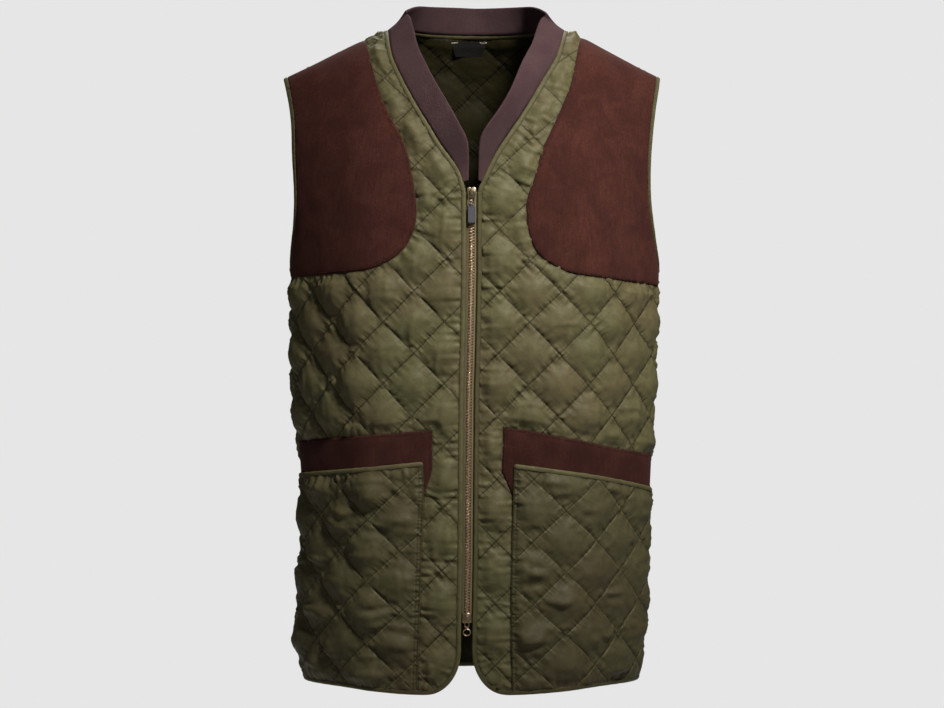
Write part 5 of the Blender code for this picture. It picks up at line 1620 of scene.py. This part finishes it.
def by_slider(top, way, down=0.0, out=0.0):
    """The place in front of the centre front that is so far from a slider's wide end."""
    place = FRONT[LEFT].at(np.array([[0.0, top - SLIDER / 2]]))[0]
    place[1] -= out
    place[2] = top - down if way == 1 else top - SLIDER + down
    return place


def pivot(top, way):
    """The place under a slider's bail that its pull turns about."""
    return by_slider(top, way, PIVOT_DOWN, SLIDER_DEEP + SEAM + WIRE)


def worn_round(path, times=2):
    """A closed outline with its corners cut round."""
    path = np.array(path, float)
    for _ in range(times):
        after = np.roll(path, -1, axis=0)
        path = np.stack([0.75 * path + 0.25 * after, 0.25 * path + 0.75 * after], 1).reshape(-1, 2)
    return path


def plate(levels):
    """A lofted plate facing -Y, from its depths and its outline as x, z at each of them."""
    return lofted([[(x, depth, z) for x, z in outline] for depth, outline in levels])


def slab(outline, levels, middle=(0, 0)):
    """A plate whose outline is drawn in towards a middle by a share at each depth."""
    outline, middle = np.array(outline), np.array(middle)
    return plate((depth, middle + (outline - middle) * share) for depth, share in levels)


def wire(path, radius, sides=12):
    """A closed loop of round wire in the plane of x, z."""
    path = spaced(closed(np.array(path, float)), radius * 0.6)[:-1]
    ahead = unit(np.roll(path, -1, axis=0) - np.roll(path, 1, axis=0))
    across = np.stack([ahead[:, 1], 0 * ahead[:, 0], -ahead[:, 0]], 1)
    centre = np.stack([path[:, 0], 0 * path[:, 0], path[:, 1]], 1)
    turn = np.arange(sides) * math.tau / sides
    rings = [centre + radius * (math.cos(t) * across + math.sin(t) * np.array([0, 1, 0])) for t in turn]
    return lofted(np.stack(rings, axis=1), ends=False)


def rounded(half, top, end, radius, steps=5):
    """A rectangle with round corners, as x, z."""
    points = []
    for x, z, start in ((half - radius, top - radius, 90), (half - radius, end + radius, 0),
                        (radius - half, end + radius, -90), (radius - half, top - radius, -180)):
        for angle in np.radians(np.linspace(start, start - 90, steps)):
            points.append((x + radius * math.cos(angle), z + radius * math.sin(angle)))
    return points


def make_slider(name, node_name, top, way, finish_name):
    """A slider: two plates with the teeth's channel between them, and the bail that holds its pull."""
    half, front, rear = SLIDER_HALF, -SLIDER_DEEP, SLIDER_BACK
    wings = [(-half, 0.15), (-0.72 * half, 0), (-0.16 * half, 0), (0, 0.12), (0.16 * half, 0),
             (0.72 * half, 0), (half, 0.15), (half, 0.5), (0.62 * half, 1), (-0.62 * half, 1)]
    outline = worn_round([(x, -share * SLIDER) for x, share in wings])
    levels = [(front, 0.86), (front + 0.0003, 0.95), (front + 0.0007, 1.0), (front + 0.0014, 1.0),
              (front + 0.0015, 0.86), (rear - 0.0013, 0.86), (rear - 0.0012, 1.0), (rear - 0.0004, 1.0),
              (rear, 0.9)]
    body = slab(outline, levels, (0, -SLIDER / 2))
    foot, inner, outer = front + BAIL_FOOT, front - BAIL_OUT + BAIL_THICK, front - BAIL_OUT
    high, low, turn = -BAIL_FROM, -BAIL_TO, BAIL_THICK * 0.8
    arch = [(foot, high), (outer + turn, high), (outer, high - turn), (outer, low + turn),
            (outer + turn, low), (foot, low), (foot, low + BAIL_THICK), (inner + 0.0004, low + BAIL_THICK),
            (inner, low + BAIL_THICK + 0.0004), (inner, high - BAIL_THICK - 0.0004),
            (inner + 0.0004, high - BAIL_THICK), (foot, high - BAIL_THICK)]
    sides = []
    for x, flatter in ((-1, 0.45), (-0.75, 0.12), (-0.35, 0), (0.35, 0), (0.75, 0.12), (1, 0.45)):
        sides.append([(x * BAIL_HALF, y + flatter * BAIL_THICK * (y < inner), z) for y, z in arch])
    solids = [body, lofted(sides)]
    if way == -1:
        solids = [(points * (1, 1, -1), faces) for points, faces in solids]
    obj = metal(name, solids, by_slider(top, way), finish_name, bevel=0.00016, angle=40)
    worn(obj, "antique_brass", node_name)


def make_pull():
    """The top slider's pull: a wire link under the bail, and a plain tab hinged on the link."""
    place = pivot(ZIP_TOP, 1)
    wide, narrow = LINK_HALF
    low, cut = -LINK_LONG, 0.0009
    path = [(-wide, -cut), (cut - wide, 0), (wide - cut, 0), (wide, -cut), (wide, low * 0.55),
            (narrow, low + cut), (narrow - cut, low), (cut - narrow, low), (-narrow, low + cut),
            (-wide, low * 0.55)]
    link = metal("pull_wire", [wire(worn_round(path), WIRE)], place, "rubbed brass", angle=60)
    worn(link, "antique_brass", "zip_link", body="pull_link")

    top, end = low - TAB_EYE - TAB_NECK, low - TAB_LONG
    half, rim = TAB_THICK / 2, 0.0009
    steps = ((half, 0.0003), (half - 0.0003, 0), (0.0003 - half, 0), (-half, 0.0003), (-half, rim),
             (0.00025 - half, rim + 0.00015))
    body = plate((depth, rounded(TAB_HALF - inset, top - inset, end + inset, 0.0011 - inset * 0.6))
                 for depth, inset in steps)
    eye = narrow - WIRE - SEAM
    turns = np.arange(28) * math.tau / 28
    ring = [(-eye, TAB_BORE + 0.0001), (-eye, TAB_EYE - 0.0002), (0.0002 - eye, TAB_EYE),
            (eye - 0.0002, TAB_EYE), (eye, TAB_EYE - 0.0002), (eye, TAB_BORE + 0.0001),
            (eye - 0.0001, TAB_BORE), (0.0001 - eye, TAB_BORE)]
    barrel = [[(x, r * math.cos(t), low + r * math.sin(t)) for x, r in ring] for t in turns]
    neck = slab(rounded(eye * 0.98, low - TAB_BORE - 0.0002, top - 0.0008, 0.0002),
                ((0.9 * half, 0.9), (0.8 * half, 1), (-0.8 * half, 1), (-0.9 * half, 0.9)),
                (0, (low - TAB_BORE + top) / 2))
    tab = metal("pull_tab_enamel", [body, lofted(barrel, ends=False), neck], place,
                ["grey enamel", "black enamel"], angle=35)
    black = place[2] + end + 0.002

    def blacken(work):
        bmesh.ops.bisect_plane(work, geom=work.verts[:] + work.edges[:] + work.faces[:], dist=1e-6,
                               plane_co=(0, 0, black), plane_no=(0, 0, 1))
        for face in work.faces:
            face.material_index = int(face.calc_center_median().z < black)

    reworked(tab.data, blacken)
    worn(tab, "grey_enamel", "zip_pull_tab", body="pull_tab")


def make_ring_pull():
    """The bottom slider's pull: an eye under the bail, and an oval ring below it."""
    place = pivot(ZIP_END + SLIDER, -1)
    eye = wire(worn_round(rounded(EYE_HALF, 0, -EYE_LONG, 0.0009, 3), 1), WIRE)
    turn = np.arange(48) * math.tau / 48
    oval = wire(np.stack([RING_HALF * np.sin(turn), -RING_DOWN + RING_HIGH * np.cos(turn)], 1), 1.1 * WIRE)
    top = RING_HIGH - RING_DOWN
    neck = slab(rounded(EYE_NECK, WIRE / 3 - EYE_LONG, top - WIRE / 3, WIRE / 2),
                ((0.8 * WIRE, 0.85), (0.6 * WIRE, 1), (-0.6 * WIRE, 1), (-0.8 * WIRE, 0.85)),
                (0, (top - EYE_LONG) / 2))
    obj = metal("ring_pull_wire", [eye, oval, neck], place, "antique brass", angle=50)
    worn(obj, "antique_brass", "zip_ring_pull", body="pull_ring")


# What a user may change


def colour_of(name, about, code):
    return FloatVectorProperty(name=name, description=about, subtype="COLOR", size=4, min=0, max=1,
                               default=linear(code))


def length_of(name, about, metres):
    return FloatProperty(name=name, description=about, default=metres, min=0, soft_max=4 * metres,
                         precision=5, unit="LENGTH")


def light_of(name, about, watts):
    return FloatProperty(name=name, description=about, default=watts, min=0, unit="POWER")


class GiletCloth(bpy.types.PropertyGroup):
    """Sizes of the cloth's relief, thread, ribs and teeth."""

    puff: length_of("Quilt height", "How far a diamond's middle stands up", 0.0087)
    folds: length_of("Folds", "Depth of the soft folds across each diamond", 0.0024)
    pucker: length_of("Puckers", "Height of the small gathers beside stitches", 0.002)
    drape: length_of("Drape", "How far the hung cloth wanders from its even form", 0.0012)
    stitch: length_of("Stitch", "Spacing of the stitches", 0.0031)
    thread: length_of("Thread", "Thickness of the sewing thread", 0.0005)
    rib: length_of("Rib", "Spacing of the collar's ribs", 0.0016)
    tooth: length_of("Tooth pitch", "Spacing of the zip's teeth on one side", 0.0034)


class GiletColours(bpy.types.PropertyGroup):
    """Colours of the gilet's materials and of the studio."""

    olive: colour_of("Olive satin", "Main colour of the quilted satin", "#5C583B")
    olive_brown: colour_of("Browner olive", "Colour that the satin drifts to", "#5E553B")
    # The dark olive gives the satin's mottle, the painted shade along its stitched lines and the thread's
    # colour; the light olive is the painted highlight below each quilting line.
    olive_dark: colour_of("Dark olive", "Colour of the satin along its stitches", "#2B2614")
    olive_light: colour_of("Light olive", "Colour where light catches the satin's ridges", "#7F7857")
    # The pockets' satin colours are darker copies of the front's: painted shade.
    pocket: colour_of("Pocket satin", "Main colour of the pockets' satin", "#524D34")
    pocket_brown: colour_of("Browner pocket satin", "Colour that the pockets' satin drifts to", "#504832")
    # The lining is darker than the outer satin, partly as painted shade inside the garment; its shade colour
    # is painted along its stitches.
    lining: colour_of("Lining", "Colour of the satin inside the garment", "#2B2613")
    lining_dark: colour_of("Lining shade", "Colour of the lining along its stitches", "#0E0D06")
    lining_green: colour_of("Greener lining", "Colour that the lining drifts to", "#28270F")
    binding: colour_of("Binding", "Colour of the satin bindings", "#5C583A")
    suede: colour_of("Suede", "Main colour of the suede", "#401D15")
    suede_light: colour_of("Stroked suede", "Suede with its nap stroked up", "#50291E")
    # The suede shade is also the painted shade along the stitched groove.
    suede_dark: colour_of("Suede shade", "Suede between its naps", "#240D09")
    knit: colour_of("Knit", "Main colour of the ribbed collar", "#513C3D")
    # The knit shade is also the painted shade between the ribs.
    knit_dark: colour_of("Knit shade", "Colour between the knit's loops", "#352526")
    tape: colour_of("Zip tape", "Main colour of the zip's tape", "#71674A")
    tape_dark: colour_of("Zip tape shade", "Colour between the tape's threads", "#595138")
    brass: colour_of("Brass", "Antique brass of the teeth and the ring", "#CDB08C")
    # A brighter copy of the brass for the top slider and its link: a painted highlight.
    highlight_brass: colour_of("Highlight brass", "Brass of the top slider, rubbed bright", "#E0CBA8")
    patina: colour_of("Patina", "Brown left in the brass's hollows", "#40261A")
    enamel: colour_of("Enamel", "Colour of the pull tab", "#4A494F")
    black: colour_of("Black enamel", "Colour of the tab's end", "#0E0E10")
    label: colour_of("Label", "Colour of the blank neck label", "#171510")
    label_fold: colour_of("Label fold", "Colour of the label's folded corners", "#C9C2AE")
    floor: colour_of("Studio floor", "Colour of the floor", "#E6E6E6")


class GiletStudio(bpy.types.PropertyGroup):
    """The studio's light, in watts and as a share."""

    key: light_of("Key light", "Power of the large light above the front", 3.3)
    fill: light_of("Fill light", "Power of the light on the wearer's right", 1.6)
    rim: light_of("Rim light", "Power of the light behind", 30.0)
    top: light_of("Top light", "Power of the light over the floor behind", 90.0)
    air: FloatProperty(name="Even light", description="Strength of the light from all round",
                       default=0.028, min=0, subtype="FACTOR")
    shades: IntProperty(name="Floor facets", description="Sides of the round floor", default=96, min=12)


GROUPS = {"gilet_cloth": GiletCloth, "gilet_studio": GiletStudio, "gilet_colours": GiletColours}


# The operators, one for each piece or group of like pieces


class GiletOperator:
    bl_options = {"REGISTER", "UNDO"}


class GILET_OT_materials(GiletOperator, bpy.types.Operator):
    """Make the gilet's materials"""

    bl_idname = "gilet.materials"
    bl_label = "Materials"

    def execute(self, context):
        c = context.scene.gilet_colours
        # The last two values set each satin's painted shade on its quilting lines and painted highlight
        # below them.
        satin("olive satin", c.olive, c.olive_brown, c.olive_dark, c.olive_light, 0.57, 0.8, 0.06)
        # The pockets' satin is a darker copy of the front's: painted shade.
        satin("olive pocket satin", c.pocket, c.pocket_brown, c.olive_dark, c.olive_light, 0.57, 0.58, 0.24)
        # The lining's dark colour is partly painted shade inside the garment.
        satin("olive lining", c.lining, c.lining_green, c.lining_dark, c.olive, 0.6, 0.95)
        satin("olive binding satin", c.binding, c.olive_brown, c.olive_dark, c.olive_light, 0.6)
        suede("brown suede", c.suede, c.suede_light, c.suede_dark)
        # The trims' suede is a darker copy of the patches' suede: painted shade.
        suede("brown trim suede", dimmed(c.suede, 0.74), dimmed(c.suede_light, 0.78), c.suede_dark)
        knit("rib knit", c.knit, c.knit_dark)
        tape("zip twill", c.tape, c.tape_dark, 1.1)
        tape("label weave", c.label, dimmed(c.label, 0.6), 0.8)
        tape("label fold", c.label_fold, dimmed(c.label_fold, 0.7), 0.8)
        plainer("antique brass", "brass", c.brass, c.patina, 0.3)
        # The top slider and its link take a brighter copy of the brass: a painted highlight.
        plainer("rubbed brass", "brass", c.highlight_brass, c.patina, 0.3)
        plainer("grey enamel", "enamel", c.enamel, dimmed(c.enamel, 0.75), 0.42)
        plainer("black enamel", "enamel", c.black, dimmed(c.black, 0.6), 0.35)
        plainer("olive thread", "thread", c.olive_dark, c.olive)
        plainer("brown thread", "thread", c.suede_light, c.suede_dark)
        plainer("studio floor", "paint", c.floor, dimmed(c.floor, 0.94))
        return {"FINISHED"}


class GILET_OT_back(GiletOperator, bpy.types.Operator):
    """Make the quilted back"""

    bl_idname = "gilet.back"
    bl_label = "Back"

    def execute(self, context):
        make_back()
        return {"FINISHED"}


class GILET_OT_fronts(GiletOperator, bpy.types.Operator):
    """Make the two quilted fronts"""

    bl_idname = "gilet.fronts"
    bl_label = "Fronts"

    def execute(self, context):
        for side in SIDES:
            make_front(side)
        return {"FINISHED"}


class GILET_OT_pockets(GiletOperator, bpy.types.Operator):
    """Make the two quilted pockets"""

    bl_idname = "gilet.pockets"
    bl_label = "Pockets"

    def execute(self, context):
        for side in SIDES:
            make_pocket(side)
        return {"FINISHED"}


class GILET_OT_suede(GiletOperator, bpy.types.Operator):
    """Make the suede shoulder patches and pocket trims"""

    bl_idname = "gilet.suede"
    bl_label = "Suede"

    def execute(self, context):
        for side in SIDES:
            make_patch(side)
            make_trim(side)
        return {"FINISHED"}


class GILET_OT_bindings(GiletOperator, bpy.types.Operator):
    """Make the satin bindings and their stitches"""

    bl_idname = "gilet.bindings"
    bl_label = "Bindings"

    def execute(self, context):
        rows = [make_edge_binding(), make_neck_binding()]
        for side in SIDES:
            rows += [make_armhole_binding(side), make_pocket_binding(side)]
        stitches("binding_thread", [bead_row(*line) for line in rows], "olive thread", "olive_binding")
        return {"FINISHED"}


class GILET_OT_collar(GiletOperator, bpy.types.Operator):
    """Make the ribbed collar and the blank neck label"""

    bl_idname = "gilet.collar"
    bl_label = "Collar and label"

    def execute(self, context):
        make_collar()
        make_label()
        return {"FINISHED"}


class GILET_OT_zip(GiletOperator, bpy.types.Operator):
    """Make the zip's tapes, teeth, sliders and pulls"""

    bl_idname = "gilet.zip"
    bl_label = "Zip"

    def execute(self, context):
        for side in SIDES:
            make_tape(side)
        make_teeth()
        make_slider("slider_top", "zip_slider_top", ZIP_TOP, 1, "rubbed brass")
        make_slider("slider_bottom", "zip_slider_bottom", ZIP_END + SLIDER, -1, "antique brass")
        make_pull()
        make_ring_pull()
        return {"FINISHED"}


CAMERA_AT = (0.0, -3.12, -0.395)
LENS = 97.13
FLOOR_AT = -1.3
FLOOR_WIDE = 3.3


class GILET_OT_stage(GiletOperator, bpy.types.Operator):
    """Make the camera, the soft studio lights and the pale floor"""

    bl_idname = "gilet.stage"
    bl_label = "Stage"

    def execute(self, context):
        scene, studio = context.scene, context.scene.gilet_studio
        scene.camera = placed("camera", bpy.data.cameras.new("camera"), CAMERA_AT, (0, 1, 0))
        scene.camera.data.lens = LENS

        mesh = bpy.data.meshes.new("floor")
        reworked(mesh, lambda work: bmesh.ops.create_circle(
            work, cap_ends=True, segments=studio.shades, radius=FLOOR_WIDE,
            matrix=Matrix.Translation((0, 0, FLOOR_AT))))
        mesh.materials.append(bpy.data.materials["studio floor"])
        placed("floor", mesh)

        chest, ground = (0.1, -0.1, -0.22), (0.0, 1.4, FLOOR_AT)
        for name, place, aim, size, spread, power in (
                ("key", (0.86, -1.55, 1.3), chest, 0.5, 31, studio.key),
                ("fill", (-2.4, -1.7, 0.3), chest, 1.8, 120, studio.fill),
                ("rim", (0.3, 2.9, 0.5), chest, 1.6, 130, studio.rim),
                ("top", (0.0, 2.3, 2.5), ground, 2.4, 180, studio.top)):
            light = bpy.data.lights.new(name, "AREA")
            light.shape = "DISK"
            light.size = size
            light.spread = math.radians(spread)
            light.energy = power
            placed(name, light, place, Vector(aim) - Vector(place))

        world = bpy.data.worlds.new("studio")
        world.use_nodes = True
        tree = world.node_tree
        tree.nodes.clear()
        seen = node(tree, "ShaderNodeLightPath")["Is Camera Ray"]
        even = node(tree, "ShaderNodeBackground", {"Color": (1, 1, 1, 1), "Strength": studio.air})[0]
        shown = node(tree, "ShaderNodeBackground", {"Color": linear("#E6E6E6")})[0]
        mixed = node(tree, "ShaderNodeMixShader", {0: seen, 1: even, 2: shown})[0]
        node(tree, "ShaderNodeOutputWorld", {"Surface": mixed})
        scene.world = world
        scene.view_settings.view_transform = "Standard"
        return {"FINISHED"}


STEPS = ("materials", "back", "fronts", "pockets", "suede", "bindings", "collar", "zip", "stage")


class GILET_PT_pieces(bpy.types.Panel):
    """The gilet's pieces, sizes and colours"""

    bl_label = "Quilted gilet"
    bl_idname = "GILET_PT_pieces"
    bl_space_type = "VIEW_3D"
    bl_region_type = "UI"
    bl_category = "Gilet"

    def draw(self, context):
        for step in STEPS:
            self.layout.operator("gilet." + step)
        for name, group in GROUPS.items():
            box = self.layout.box()
            for key in group.__annotations__:
                box.prop(getattr(context.scene, name), key)


CLASSES = (*GROUPS.values(), GILET_OT_materials, GILET_OT_back, GILET_OT_fronts, GILET_OT_pockets,
           GILET_OT_suede, GILET_OT_bindings, GILET_OT_collar, GILET_OT_zip, GILET_OT_stage,
           GILET_PT_pieces)


def register():
    for cls in CLASSES:
        bpy.utils.register_class(cls)
    for name, group in GROUPS.items():
        setattr(bpy.types.Scene, name, PointerProperty(type=group))


def unregister():
    for name in GROUPS:
        delattr(bpy.types.Scene, name)
    for cls in reversed(CLASSES):
        bpy.utils.unregister_class(cls)


def main():
    register()
    for step in STEPS:
        getattr(bpy.ops.gilet, step)()
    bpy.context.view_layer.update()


if __name__ == "__main__":
    main()
